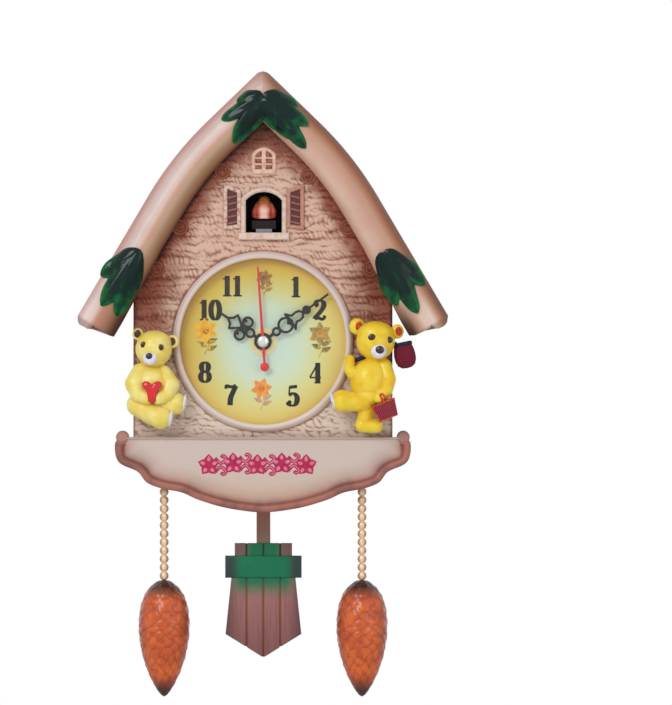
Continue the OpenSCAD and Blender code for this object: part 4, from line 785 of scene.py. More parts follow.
blade = turned([(-0.75, -15), (0.75, -15), (1.0, 0), (0.6, 50.1), (-0.6, 50.1), (-1.0, 0)], 4)
tail_x, tail_z = turned([(0, -17)], 4)[0]
needle = joined(slab(blade, 43.3, 43.75, 0.12),
                lathe([(0, 43.3), (2.9, 43.3), (3.0, 43.5), (2.7, 43.75), (0, 43.8)], tail_x, tail_z, 32))
make("second_needle", *needle, needle_red, "second", "hand_red", ["second_hand"])
silver = Finish("silver_cap", 0.2, Metallic=0.85)
silver.mottled(rgb(228, 230, 222), rgb(206, 210, 200), 2, 0.5, 0.005)
cap = lathe([(0, 43.35), (3.7, 43.35), (3.85, 43.8), (3.5, 44.35), (2.6, 44.8), (1.4, 45.02), (0, 45.08)],
            0, DIAL_Z, 40)
make("hand_cap", *cap, silver, "second", "hand_red")


# Clear dome
# A thin blown dome of clear plastic, held behind the lip of the dial ring.
# It is so clear that only a faint sheen shows.

clear = Finish("clear_dome", 0.05, Alpha=0.025)
clear.mottled(rgb(244, 250, 250), rgb(238, 246, 248), 20, 30, 0.02)
dress(clear, "dial_lens")


# Roof logs
# Two bent half-round logs with a board behind each, moulded in one piece and meeting at a rounded apex.
# Across each log the spray is mixed with painted light and shade: the left one is painted pale on its outer
# side, the right one darkens outwards, and painted shade lies along the inner edges, all along the left log
# and near both eaves.

BOW_LENGTH = BOW_R * (PITCH_TOP - PITCH_LOW)
EAVE = 93.0


def log_point(s, u, side):
    """Place on the front at a distance s up the log from the start of the bow, u across it."""
    angle = PITCH_LOW + np.clip(s, 0, BOW_LENGTH) / BOW_R
    beyond = s - np.clip(s, 0, BOW_LENGTH)
    x = BOW[0] + (BOW_R + u) * math.cos(angle) - beyond * math.sin(angle)
    z = BOW[1] + (BOW_R + u) * math.sin(angle) + beyond * math.cos(angle)
    if math.atan2(z - APEX_Z, max(x, 1e-9)) > PITCH_TOP and math.hypot(x, z - APEX_Z) > 6.98:
        scale = 6.98 / math.hypot(x, z - APEX_Z)
        x, z = x * scale, APEX_Z + (z - APEX_Z) * scale
    return side * max(x, 0.0), z


def eave_end(u, side):
    """How far the moulded front of a log falls short of its full length at u across it."""
    step = 3.7 * min(max((1.6 - u) / 1.8, 0.0), 1.0)
    notch = 1.5 * math.exp(-((u - 0.4) / 1.0) ** 2)
    outer = 4.4 * max(0.0, (u - 7.6) / 5.4) ** 2.3
    inner = (2.6 if side > 0 else 0.9) * max(0.0, (-u - 9.3) / 3.7) ** 2
    return step + notch + outer + inner + 0.25 * (1 + math.sin(u * 0.6 + side))


LOG_F, OUTER_R, INNER_R, ARC_STEPS = 45, 12.98, 10.78, 33
log_section = [(OUTER_R, 4.02), (OUTER_R, 25.0)]
log_section += [(OUTER_R * math.cos(a), LOG_F + OUTER_R * math.sin(a))
                for a in np.linspace(0, math.pi, ARC_STEPS)]
log_section += [(-OUTER_R, 42.02), (-10.8, 42.02)]
log_section += [(INNER_R * math.cos(a), LOG_F + INNER_R * math.sin(a)) for a in np.linspace(math.pi, 0, 13)]
log_section += [(10.8, 25.0), (10.8, 4.02)]

log_points, log_faces, across, along = [], [], [], []
stations = [("low", w) for w in np.linspace(1, 0, 44)] + [("bow", w) for w in np.linspace(0.03, 1, 34)]
stations += [("top", w) for w in np.concatenate([np.linspace(0.04, 0.86, 20), np.linspace(0.88, 1, 12)])]
for side in (-1, 1):
    start = len(log_points)
    for part, w in stations:
        for u, f in log_section:
            if part == "low":
                s = -w * (EAVE + 3.7 - eave_end(u, side) if f > 42 else EAVE - 0.3)
            elif part == "bow":
                s = w * BOW_LENGTH
            else:
                end = (BOW[0] + (BOW_R + u) * math.cos(PITCH_TOP)) / math.sin(PITCH_TOP)
                s = BOW_LENGTH + w * end
            lump = 1 - 0.022 * (1 + float(uneven(np.array(s / 21 + side * 7), np.array(u / 9 + 3), 8)))
            if f > LOG_F and math.hypot(u, f - LOG_F) > 12:
                u_now, f_now = u * (lump if abs(u) < 12 else 1), LOG_F + (f - LOG_F) * lump
            else:
                u_now, f_now = u, f
            if f > 42.01 and u < 0:
                near_eave = min(max((-s - 25) / 55, 0.0), 1.0)
                u_now -= (2.0 if side < 0 else 3.2) * near_eave * (-u / 13) ** 1.5
            x, z = log_point(s, u_now, side)
            log_points.append((x, z, f_now))
            across.append(u)
            along.append(s)
    width = len(log_section)
    log_faces += lattice(len(stations), width, start)
    log_faces += [tuple(range(start, start + width)), tuple(range(start + 2, start + 2 + ARC_STEPS))]

log_paint = Finish("log_paint", 0.42, Coat_Weight=0.15)
u_value, s_value = attribute(log_paint, "across"), attribute(log_paint, "along")
# Painted light and shade across each log, from its inner edge (-13) to its outer edge (13): pale painted
# highlight bands and darker painted shade towards the edges.
left_mid = log_paint.ramp(u_value, -13, 13, (0, rgb(104, 64, 48)), (0.08, rgb(158, 110, 80)),
                          (0.2, rgb(166, 132, 102)), (0.32, rgb(190, 154, 128)),
                          (0.44, rgb(198, 156, 134)), (0.54, rgb(216, 186, 174)),
                          (0.7, rgb(208, 190, 184)), (0.84, rgb(206, 178, 170)),
                          (0.93, rgb(198, 150, 140)), (1, rgb(176, 124, 114)))
left_eave = log_paint.ramp(u_value, -13, 13, (0, rgb(56, 42, 38)), (0.12, rgb(104, 72, 58)),
                           (0.24, rgb(150, 106, 82)), (0.36, rgb(172, 120, 98)),
                           (0.52, rgb(184, 132, 112)), (0.64, rgb(212, 184, 170)),
                           (0.82, rgb(228, 208, 202)), (1, rgb(200, 164, 152)))
right_mid = log_paint.ramp(u_value, -13, 13, (0, rgb(204, 156, 134)), (0.1, rgb(212, 178, 156)),
                           (0.2, rgb(214, 182, 164)), (0.36, rgb(208, 166, 148)),
                           (0.54, rgb(196, 152, 132)), (0.66, rgb(190, 146, 122)),
                           (0.78, rgb(176, 120, 92)), (0.9, rgb(140, 84, 58)), (1, rgb(108, 66, 46)))
right_eave = log_paint.ramp(u_value, -13, 13, (0, rgb(48, 40, 38)), (0.12, rgb(74, 56, 48)),
                            (0.2, rgb(160, 118, 96)), (0.38, rgb(218, 188, 168)),
                            (0.62, rgb(226, 200, 184)), (0.8, rgb(184, 128, 100)),
                            (0.93, rgb(118, 72, 50)), (1, rgb(84, 52, 40)))
at_left_eave = log_paint.fade(s_value, -38, -82)
at_right_eave = log_paint.fade(s_value, -56, -90)
left_log = log_paint.mix(at_left_eave, left_mid, left_eave)
right_log = log_paint.mix(at_right_eave, right_mid, right_eave)
log_tone = log_paint.mix(log_paint.fade(log_paint.x, -9, 9), left_log, right_log)
# Each log is darker over the last few millimetres of its eave end.
darker_at_eave_end = log_paint.fade(s_value, -EAVE + 2.6, -EAVE - 0.6)
log_tone = log_paint.tint(log_tone, rgb(96, 62, 50), darker_at_eave_end, 0.55)
blotch = log_paint.fade(log_paint.grain(17, 3), 0.35, 0.7)
log_paint.colour(log_paint.tint(log_tone, rgb(176, 118, 98), blotch, 0.16))
log_paint.relief(log_paint.grain(2.5, 3), 0.05)
make("roof_logs", log_points, log_faces, log_paint, "case", "log_roof", ["roof_moulding"], 50,
     across=across, along=along)


# Leaves
# Glossy green leaves of soft resin lie over the apex and each eave, glued at their stems.
# Each is domed with a sunk midrib, and its green darkens towards the stem.


def leaf(stem, tip, width, level):
    """A domed leaf with a midrib that lies over the roof logs."""
    stem, tip = np.array(stem, float), np.array(tip, float)
    way = tip - stem
    left = np.array([-way[1], way[0]]) / np.hypot(*way)
    lengths, sides = 20, 11
    top, low, shade = [], [], []
    for t in np.linspace(0.01, 0.995, lengths):
        half = width / 2 * math.sin(math.pi * t ** 0.8) ** 0.52 * (1 + 0.07 * math.sin(11 * t + tip[0]))
        for s in np.linspace(-1, 1, sides):
            x, z = stem + way * t + left * (half * s)
            u = float(across_log(np.array(x), np.array(z)))
            bed = max(45 + math.sqrt(max(169 - u * u, 0)), 53.0 - 3.0 * max(0.0, (-13 - u) / 12))
            dome = 2.1 * math.sqrt(max(1 - s * s, 0)) * math.sin(math.pi * min(t, 0.97)) ** 0.35
            groove = 0.55 * math.exp(-(s / 0.13) ** 2) * math.sin(math.pi * t)
            f = min(bed + 0.25 + dome + level - groove, 60.95)
            top.append((x, z, f))
            low.append((x, z, max(f - 2.6 - dome, 42.35)))
            shade.append(0.72 * t + 0.34 * abs(s) ** 1.5)
    count = len(top)
    faces = lattice(lengths, sides, ring=False) + lattice(lengths, sides, count, ring=False, flip=True)
    rim = list(range(sides)) + [i * sides + sides - 1 for i in range(1, lengths)]
    rim += list(range((lengths - 1) * sides + sides - 2, (lengths - 1) * sides - 1, -1))
    rim += [i * sides for i in range(lengths - 2, 0, -1)]
    faces += [(a, b, b + count, a + count) for a, b in zip(rim, rim[1:] + rim[:1])]
    return top + low, faces, shade + shade


leaf_green = Finish("leaf_gloss", 0.24, Specular_IOR_Level=0.05, Coat_Weight=0.28, Coat_Roughness=0.1)
tip_share = attribute(leaf_green, "tip")
bright = leaf_green.mix(leaf_green.fade(leaf_green.grain(7), 0.35, 0.65), rgb(0, 112, 58), rgb(4, 98, 36))
dark_leaf = leaf_green.mix(leaf_green.grain(5), rgb(8, 42, 34), rgb(5, 24, 26))
wavering = leaf_green.plus(tip_share, leaf_green.times(leaf_green.minus(leaf_green.grain(6), 0.5), 0.7))
at_tip = leaf_green.fade(wavering, 0.46, 1.04)
leaf_green.colour(leaf_green.mix(at_tip, dark_leaf, bright))
leaf_green.relief(leaf_green.grain(2.2, 2), 0.1)

CLUSTERS = {
    "apex_leaves": [((0.5, 35), (-17.5, 32), 12), ((-2, 33), (-27.5, 19.5), 11),
                    ((-3, 31), (-19.2, 3.8), 12.5), ((0.5, 34), (-8.5, 12.5), 12),
                    ((0, 36), (23, 29), 12.5), ((4, 33), (30.5, 16), 12.5),
                    ((4, 32), (28.4, 0.5), 13), ((3, 32), (19, 6.5), 12), ((0.5, 34), (8.8, 13), 11)],
    "left_leaves": [((-80, -68), (-108, -84), 15), ((-81, -69), (-107.5, -104), 16),
                    ((-82, -68), (-97, -111), 15)],
    "right_leaves": [((80, -68), (108, -90), 15), ((80, -69), (103, -109), 16),
                     ((79, -68), (89, -104), 15)],
}
for cluster, leaves in CLUSTERS.items():
    leaf_points, leaf_faces, tips = [], [], []
    for i, (stem, tip, width) in enumerate(leaves):
        points, faces, shade = leaf(stem, tip, width, 0.3 * (i % 3))
        leaf_faces += [tuple(v + len(leaf_points) for v in face) for face in faces]
        leaf_points += points
        tips += shade
    make(cluster + "_glossy", leaf_points, leaf_faces, leaf_green, "case", "leaf_paint", [cluster], 60,
         tip=tips)


# Apron board
# A scalloped board with a rounded rim hides the case floor; its panel is bare but for a printed ornament.
# The rim is sprayed rosy, and the spray fades into the pale panel along the sides and the bottom.

KNOTS = [(0.94, 0), (1, -0.06), (1, -0.24), (0.962, -0.36), (0.85, -0.46), (0.79, -0.6), (0.69, -0.68),
         (0.55, -0.735), (0.44, -0.83), (0.27, -0.93), (0.1, -0.985), (0, -1)]
APRON_HALF, APRON_TOP, APRON_H = 98.0, -191.3, 50.2
edge = [(p[0] * APRON_HALF, p[1] * APRON_H + APRON_TOP) for p in curve([KNOTS[0], *KNOTS, KNOTS[-1]], 5)]
edge = edge + [(0.0, -APRON_H + APRON_TOP)] + [(-x, z) for x, z in edge[::-1]]
top_edge = [(x, APRON_TOP) for x in np.linspace(-0.94 * APRON_HALF, 0.94 * APRON_HALF, 40)[1:-1]]
edge = (edge + top_edge)[::-1]
rim_rings = [(0.0, 42.0), (0.0, 48.4), (0.35, 50.0), (1.2, 51.0), (2.5, 51.45), (3.8, 51.1), (4.8, 50.3),
             (5.4, 49.8), (5.9, 49.72)]
count = len(edge)
at_top = [abs(z - APRON_TOP) < 0.01 for x, z in edge]
apron_points, spray, crease = [], [], []
for inset, f in rim_rings:
    for i, (x, z) in enumerate(edge):
        before, after = np.array(edge[i - 1]), np.array(edge[(i + 1) % count])
        way = (after - before) / np.linalg.norm(after - before)
        inward = np.array([-way[1], way[0]])
        px, pz = x + inset * inward[0], z + inset * inward[1] * (0.3 if at_top[i] else 1)
        apron_points.append((px, min(pz, APRON_TOP), f))
        spray.append(0.15 if at_top[i] else 1.0)
        # Painted shade in the crease: on the rim's inner edge and on the panel close beside it.
        crease.append(1.0 if 4.5 < inset and not at_top[i] else 0.0)
apron_faces = lattice(len(rim_rings), count) + [tuple(range(count))]
low_rim = np.array([p[:2] for i, p in enumerate(apron_points[-2 * count:-count])
                    if not at_top[i] and p[1] < -197])
low_rim = low_rim[np.argsort(low_rim[:, 0])]
run = np.concatenate([[0], np.cumsum(np.hypot(*np.diff(low_rim, axis=0).T))])
fine_run = np.linspace(0, run[-1], 1600)
fine_rim = np.stack([np.interp(fine_run, run, low_rim[:, 0]), np.interp(fine_run, run, low_rim[:, 1])], 1)
wide, high = 240, 30
panel_x, share = np.meshgrid(np.linspace(-92.4, 92.4, wide), np.linspace(0, 1, high), indexing="ij")
bottom = np.interp(panel_x, low_rim[:, 0], low_rim[:, 1])
panel_z = bottom + (-192.6 - bottom) * share
reach = np.min(np.hypot(panel_x.ravel()[:, None] - fine_rim[:, 0],
                        panel_z.ravel()[:, None] - fine_rim[:, 1]), axis=1)
start = len(apron_points)
apron_points += [(x, z, 49.72) for x, z in zip(panel_x.ravel(), panel_z.ravel())]
spray += list(0.95 * np.maximum(0, 1 - reach / 14) ** 1.6)
crease += list(np.maximum(0, 1 - reach / 1.8))
apron_faces += lattice(wide, high, start, ring=False, flip=True)
knobs = [lathe([(4.35, 42), (4.35, 48.6), (4.0, 50.2), (3.2, 51.1), (2.0, 51.45), (0, 51.45)], s * 93.4,
               APRON_TOP, 40) for s in (-1, 1)]
knob_points, knob_faces = joined(*knobs)
apron_faces += [tuple(v + len(apron_points) for v in face) for face in knob_faces]
spray += [0.85] * len(knob_points)
crease += [0.0] * len(knob_points)
apron_points += knob_points

apron_paint = Finish("apron_paint", 0.5)
sprayed = attribute(apron_paint, "spray")
panel_tone = apron_paint.mix(apron_paint.fade(apron_paint.z, -205, -236), rgb(204, 186, 176),
                             rgb(206, 180, 160))
cover = apron_paint.ramp(sprayed, 0, 1, (0, (0, 0, 0, 1)), (0.5, (0.35, 0.35, 0.35, 1)), (1, (1, 1, 1, 1)))
rim_tone = apron_paint.mix(apron_paint.fade(apron_paint.grain(11, 2), 0.35, 0.65), rgb(170, 110, 97),
                           rgb(140, 92, 84))
apron_tone = apron_paint.mix(cover, panel_tone, rim_tone)
# Painted shade: a dark line in the crease where the rim meets the panel.
apron_paint.colour(apron_paint.tint(apron_tone, rgb(104, 58, 50), attribute(apron_paint, "crease"), 0.55))
apron_paint.relief(apron_paint.grain(0.8, 3), 0.04)
make("apron_board", apron_points, apron_faces, apron_paint, "case", "apron", ["base_board"], 45,
     spray=spray, crease=crease)


# Apron ornament
# A pink printed band of flowers and scrolls with a crimson outline, on the middle of the apron.
# Crimson is printed first, and pink over it.

PANEL_F = 49.76
outline_parts, fill_parts = [], []
for i in range(5):
    cx, cz = -36 + 16.2 * i, -209.4 + (0.5 if i % 2 else -0.5)
    for k in range(5):
        turn = math.pi / 2 + 2 * math.pi * k / 5
        outline_parts.append(petal(cx, cz, 7.4, 6.4, turn, PANEL_F + 0.01 * k))
        fill_parts.append(petal(cx + 2.4 * math.cos(turn), cz + 2.4 * math.sin(turn), 3.7, 2.4, turn,
                                PANEL_F + 0.08))
    outline_parts.append(spot(cx, cz, 1.9, PANEL_F + 0.1))
    if i < 4:
        for way in (-1, 1):
            curl = smooth_line([(cx + 4.2, cz + way * 4.6), (cx + 8.1, cz + way * 1.2),
                                (cx + 11.4, cz + way * 4.4), (cx + 9.6, cz + way * 6.2),
                                (cx + 8.2, cz + way * 4.9)])
            outline_parts.append(pen(curl, 2.3, 2.3, PANEL_F + 0.06))
            fill_parts.append(pen(curl[3:-3], 0.7, 0.7, PANEL_F + 0.09))
make("apron_ornament_edge", *joined(*outline_parts),
     printed("crimson_print", rgb(186, 46, 88), rgb(168, 36, 74)), "case", "apron")
make("apron_ornament_fill", *joined(*fill_parts),
     printed("pink_print", rgb(220, 132, 152), rgb(206, 112, 136)), "case", "apron")


# Bears
# Two soft resin bears are cast apart, painted yellow and glued to the house front.
# Fine fur lines are moulded in, and the faces, soles and ears are painted by hand.

BEAR_F, GLUED_F = 53.0, 42.3
RING_REACH, RING_CLEAR = 60.6, 46.85


def upright(profile, x, z, f, lean, depth):
    """A profile of (radius, up) turned about an upright axis that leans in the front view."""
    c, s = math.cos(lean), math.sin(lean)
    points = []
    for radius, up in profile:
        for a in whole_turn(28):
            px = radius * math.cos(a)
            points.append((x + px * c - up * s, z + px * s + up * c, f + depth * radius * math.sin(a)))
    return points, lattice(len(profile), 28) + end_faces(len(profile), 28)


def egg(x, z, f, half_x, half_z, half_f, lean=0.0):
    """An egg-shaped lump with its own half sizes."""
    profile = [(half_x * math.sin(a), half_z * math.cos(a)) for a in np.linspace(0.03, math.pi - 0.03, 17)]
    return upright(profile, x, z, f, lean, half_f / half_x)


def sculpted(name, origin, eggs, limbs, finish, body, stands_for, back=None, voxel=0.5):
    """Eggs and limbs of (right, up, forward, radius) melted into one smooth body, cut flat where glued."""
    lumps = [egg(*[a + b for a, b in zip(origin, at)], *size) for at, size in eggs]
    for limb in limbs:
        for a, b in zip(limb, limb[1:]):
            for t in np.linspace(0, 1, 9):
                *at, r = [p + (q - p) * t for p, q in zip(a, b)]
                lumps.append(egg(*[o + p for o, p in zip(origin, at)], r, r, r))
    points, faces = joined(*lumps)
    mesh = bpy.data.meshes.new(name)
    mesh.from_pydata([(x * MM, -f * MM, z * MM) for x, z, f in points], [], faces)
    piece = bpy.data.objects.new(name, mesh)
    bpy.context.collection.objects.link(piece)
    melt = piece.modifiers.new("melt", "REMESH")
    melt.mode, melt.voxel_size = "VOXEL", voxel * MM
    ease = piece.modifiers.new("ease", "SMOOTH")
    ease.factor, ease.iterations = 0.5, 7
    seen = piece.evaluated_get(bpy.context.evaluated_depsgraph_get())
    final = bpy.data.meshes.new_from_object(seen)
    piece.modifiers.clear()
    piece.data = final
    if back is not None:
        cut = bmesh.new()
        cut.from_mesh(final)
        bmesh.ops.bisect_plane(cut, geom=cut.verts[:] + cut.edges[:] + cut.faces[:],
                               plane_co=(0, -back * MM, 0), plane_no=(0, 1, 0), clear_outer=True)
        for v in cut.verts:
            reach = math.hypot(v.co.x / MM, v.co.z / MM - DIAL_Z)
            if reach < RING_REACH and -v.co.y / MM < RING_CLEAR:
                v.co.y = -RING_CLEAR * MM
        cut.to_mesh(final)
        cut.free()
    final.shade_smooth()
    final.materials.clear()
    final.materials.append(finish.material)
    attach(piece, body)
    if stands_for:
        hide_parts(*stands_for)
    return piece


def front_of(piece, x, z):
    """How far forward a sculpted body reaches at a place on the front."""
    hit, place, *_ = piece.ray_cast((x * MM, -0.2, z * MM), (0, 1, 0))
    return -place.y / MM if hit else BEAR_F


def bear_paint(name, light, deep):
    finish = Finish(name, 0.42, Coat_Weight=0.25, Subsurface_Weight=0.08)
    # Painted shade: the creases, found from pointiness, are tinted a deeper orange.
    crease = finish.fade(finish.add("ShaderNodeNewGeometry").outputs["Pointiness"], 0.515, 0.455)
    tone = finish.mix(finish.fade(finish.grain(8, 2), 0.35, 0.7), light, deep)
    finish.colour(finish.tint(tone, rgb(196, 138, 30), crease, 0.55))
    return finish.relief(finish.grain(0.9, 2, (1, 1, 5)), 0.14)


pale_yellow = bear_paint("pale_yellow_paint", rgb(240, 224, 134), rgb(234, 206, 92))
deep_yellow = bear_paint("deep_yellow_paint", rgb(240, 210, 62), rgb(236, 190, 30))
left_bear = sculpted(
    "left_bear_body", (-72.5, -132.2, BEAR_F),
    [((0, -0.6, 0), (12.2, 12.0, 11.3)), ((0.4, 3.4, 0), (11.4, 8.6, 10.6)),
     ((-10.6, 9.4, -2), (3.9, 4.1, 2.4)), ((12.4, 4.5, -2), (4.5, 4.5, 2.4)),
     ((-1.2, -24.4, -1), (12.6, 13.6, 11.0))],
    [[(-8.8, -16.0, 0, 6.2), (-12.3, -23.6, 3, 6.9), (-10.0, -30.6, 6, 5.4), (-4.6, -33.4, 8.2, 4.0)],
     [(6.6, -16.5, 0, 5.4), (11.0, -24.4, 3, 6.4), (8.6, -30.8, 6, 5.2), (3.0, -33.4, 8.2, 4.0)],
     [(-10.6, -37.6, 0, 7.6), (-4, -42.0, 2, 7.2), (4.6, -46.0, 3, 7.7)],
     [(5, -37.2, 0, 6.2), (10, -37.0, 1, 6.6), (14.2, -36.6, 1.5, 7.6)]],
    pale_yellow, "case", ["left_bear"], GLUED_F)
right_bear = sculpted(
    "right_bear_body", (75.0, -126.8, BEAR_F),
    [((0, -0.8, 0), (13.0, 12.6, 11.3)), ((0, 3.6, 0), (12.2, 9.2, 10.5)),
     ((-12.4, 9.2, -2), (5.2, 5.6, 2.6)), ((14.4, 5.8, -2), (4.5, 4.9, 2.6)),
     ((-3.6, -27.5, -1), (13.4, 15.4, 11.2)), ((-3.0, -37, 0), (12.8, 8.6, 9.6))],
    [[(-9, -22.5, 0, 5.4), (-15.2, -22.2, 1, 4.3), (-17.7, -18.5, 1, 3.7), (-17.2, -12.8, -1.5, 3.4)],
     [(5.6, -17.5, 0, 5.4), (8.6, -26, 3.5, 5.0), (7.0, -33.5, 7, 4.5), (2.2, -38.6, 9, 3.8)],
     [(-7, -41, 2, 6.8), (-14, -41, 3, 6.4), (-22.2, -40.2, 4, 7.4)],
     [(-5, -45, 0, 6.2), (-7.2, -54, 1, 5.4)],
     [(-8.5, -56.2, 2, 5.2), (0.2, -57.0, 3, 4.8)]],
    deep_yellow, "case", ["right_bear"], GLUED_F)

bluish_white = printed("bluish_white_paint", rgb(232, 232, 244), rgb(214, 214, 232))
snouts = [egg(-74.7, -138.8, 61.9, 4.8, 4.5, 3.5), egg(77.0, -134.0, 61.9, 5.2, 5.0, 3.5)]
soles = [egg(-61.2, -178.7, 56.0, 1.5, 5.9, 5.4, -0.2), egg(-52.3, -168.6, 54.6, 1.5, 5.9, 5.2, -0.2),
         egg(46.7, -166.9, 57.0, 1.5, 5.9, 5.4, 0.28)]
make("bear_snouts_and_soles", *joined(*snouts, *soles), bluish_white, "case", "pale_bear_paint", (), 80)

dark_brown = Finish("eye_paint", 0.18, Coat_Weight=0.6)
dark_brown.mottled(rgb(66, 34, 30), rgb(40, 20, 22), 1.5, 0.6, 0.02)
eyes = [egg(x, z, front_of(left_bear, x, z) - 0.1, 2.0, 2.1, 0.9)
        for x, z in ((-79.1, -129.9), (-67.6, -131.6))]
eyes += [egg(x, z, front_of(right_bear, x, z) - 0.1, 2.6, 2.2, 0.9)
         for x, z in ((72.5, -124.9), (83.9, -126.6))]
noses = [egg(-75.3, -137.4, 64.8, 2.3, 2.2, 1.35), egg(77.7, -133.2, 64.8, 2.9, 2.7, 1.35)]
dark_ears = [egg(x, z, front_of(left_bear, x, z) - 0.15, 2.4, 2.7, 0.6)
             for x, z in ((-83.3, -122.5), (-60.4, -127.6))]
make("bear_eyes_and_noses", *joined(*eyes, *noses, *dark_ears), dark_brown, "case", "pale_bear_paint", (),
     80)
ear_red = printed("ear_red_paint", rgb(196, 74, 30), rgb(158, 44, 34))
red_ears = [egg(x, z, front_of(right_bear, x, z) - 0.15, 2.3, 3.0, 0.6, lean)
            for x, z, lean in ((63.9, -117.4, -0.3), (90.4, -120.9, 0.1))]
make("bear_inner_ears", *joined(*red_ears), ear_red, "case", "gold_bear_paint", (), 80)


# Heart
# A glossy red heart that the seated bear holds against its chest with both paws.
# It is cast apart in the same resin, painted and glued on.

heart_half = [(0, 4.4), (2.0, 6.3), (4.6, 6.9), (6.5, 5.4), (6.1, 3.0), (4.2, 0.8), (3.2, -1.8),
              (2.9, -4.6), (2.2, -7.0), (0, -7.6)]
heart_side = curve([heart_half[0], *heart_half, heart_half[-1]], 5) + [heart_half[-1]]
heart_ring = [tuple(p) for p in heart_side] + [(-x, z) for x, z in heart_side[-2:0:-1]]
heart_points = []
heart_steps = [(1.0, 63.5), (1.0, 64.4), (0.95, 65.2), (0.84, 65.8), (0.62, 66.2), (0.3, 66.35)]
for scale, f in heart_steps:
    heart_points += [(-73.4 + x * scale, -160.9 + z * scale, f) for x, z in heart_ring]
around = len(heart_ring)
heart_faces = lattice(len(heart_steps), around) + end_faces(len(heart_steps), around)
heart_red = Finish("heart_red_paint", 0.25, Coat_Weight=0.5)
heart_red.mottled(rgb(222, 38, 46), rgb(200, 28, 40), 4, 0.9, 0.06)
make("left_bear_heart_red", heart_points, heart_faces, heart_red, "case", "heart_paint",
     ["left_bear_heart"], 50)


# Basket
# The standing bear's little basket: woven maroon sides, an orange corded rim and a bent handle.
# It is one resin casting with the weave moulded in, painted by hand.


def cord_of(line, radius, sides=8):
    """Points and faces of a round cord along points given as (right, up, forward)."""
    line = [np.array(p, float) for p in line]
    points = []
    for i, p in enumerate(line):
        way = line[min(i + 1, len(line) - 1)] - line[max(i - 1, 0)]
        way /= np.linalg.norm(way)
        across_way = np.cross(way, (0, 0, 1) if abs(way[2]) < 0.9 else (1, 0, 0))
        across_way /= np.linalg.norm(across_way)
        third = np.cross(way, across_way)
        points += [tuple(p + radius * (math.cos(a) * across_way + math.sin(a) * third))
                   for a in whole_turn(sides)]
    return points, lattice(len(line), sides) + end_faces(len(line), sides)


wicker = Finish("wicker_paint", 0.5)
weave_a = wicker.calc("SINE", wicker.times(wicker.plus(wicker.x, wicker.times(wicker.z, 0.4)), 3.6))
weave_b = wicker.calc("SINE", wicker.times(wicker.minus(wicker.z, wicker.times(wicker.x, 0.4)), 3.6))
weave = wicker.times(weave_a, weave_b)
wicker.colour(wicker.mix(wicker.fade(weave, -0.3, 0.6), rgb(98, 18, 42), rgb(186, 72, 82)))
wicker.relief(wicker.fade(weave, -0.8, 0.8), 0.3)
rim_orange = printed("basket_rim_paint", rgb(214, 92, 44), rgb(178, 56, 44))
TILT = math.radians(22)


def in_basket(x, z, f):
    """Place in the front view of a point of the basket, which hangs askew from the paw."""
    c, s = math.cos(TILT), math.sin(TILT)
    return 81.7 + x * c - z * s, -173.2 + x * s + z * c, 62.2 + f


basket_rings = [(6.3, 3.6, -5.9), (8.3, 4.0, 5.2), (7.4, 3.1, 5.2), (5.6, 2.8, -4.9)]
basket_points = [in_basket(sx * x, z, sf * f) for x, f, z in basket_rings
                 for sx, sf in ((-1, -1), (1, -1), (1, 1), (-1, 1))]
make("woven_basket", basket_points, end_faces(4, 4) + lattice(4, 4), wicker, "case", "basket_paint",
     ["right_bear_basket"], 30)
rim_line = [in_basket(x, 5.1, f) for x, f in ((-8.2, 3.9), (0, 3.9), (8.2, 3.9), (8.2, 0), (8.2, -3.9),
                                              (0, -3.9), (-8.2, -3.9), (-8.2, 0), (-8.2, 3.9))]
post = [in_basket(-8.0, 4.9, 3.9), in_basket(-6.2, -5.7, 3.6)]
foot_line = [in_basket(x, -5.7, 3.6) for x in (-6.2, 0, 6.2)]
grips = [in_basket(x, z, 3.2)
         for x, z in ((1.0, 5), (0.2, 8.6), (0.2, 10.9), (1.5, 11.2), (3.1, 8.2), (4.8, 5.2))]
make("basket_rim",
     *joined(cord_of(rim_line, 0.55), cord_of(post, 0.5), cord_of(foot_line, 0.4), cord_of(grips, 0.75)),
     rim_orange, "case", "basket_paint", (), 60)


# Bundle
# A knitted maroon bag with a navy collar, on the end of the dark stick over the standing bear's shoulder.
# Bag and stick are one resin casting, painted by hand.

bag_wool = Finish("bag_wool_paint", 0.75)
stitch = bag_wool.times(bag_wool.calc("SINE", bag_wool.times(bag_wool.x, 4.2)),
                       bag_wool.calc("SINE", bag_wool.times(bag_wool.z, 4.2)))
bag_wool.colour(bag_wool.mix(bag_wool.fade(stitch, -0.5, 0.5), rgb(96, 22, 42), rgb(138, 40, 62)))
bag_wool.relief(bag_wool.fade(stitch, -0.6, 0.6), 0.35)
bag_profile = [(0.5, -9.0), (3.4, -8.6), (5.8, -6.8), (7.0, -3.6), (7.2, 0), (6.8, 3.4), (6.2, 5.6),
               (5.8, 6.6), (0.5, 6.6)]
BAG = (94.4, -136.6, 49.0, 0.2, 0.74)
make("bundle_bag", *upright(bag_profile, *BAG), bag_wool, "case", "bundle_paint",
     ["right_bear_bundle"], 60)
navy = printed("bundle_navy_paint", rgb(40, 42, 62), rgb(24, 24, 40))
collar_profile = [(0.5, 5.9), (6.0, 5.9), (6.5, 6.5), (6.5, 8.0), (6.0, 8.7), (0.5, 8.7)]
collar = upright(collar_profile, *BAG)


def on_stick(d):
    """Place at a distance d along the bundle's stick."""
    c, s = math.cos(TILT), math.sin(TILT)
    return 75 + (-20.5 + d) * c + 7.4 * s, -126.8 + (-20.5 + d) * s - 7.4 * c, 49.0


make("bundle_collar_and_stick",
     *joined(collar, cord_of([on_stick(d) for d in (0.2, 12, 24, 33)], 1.38, 20)), navy,
     "case", "bundle_paint", (), 80)


# Bird
# The bird stands on its sliding tray in a dark box behind the window and comes out on the hour.
# It is moulded hollow and painted: a brown head, red wings and a pale belly over a dark foot.

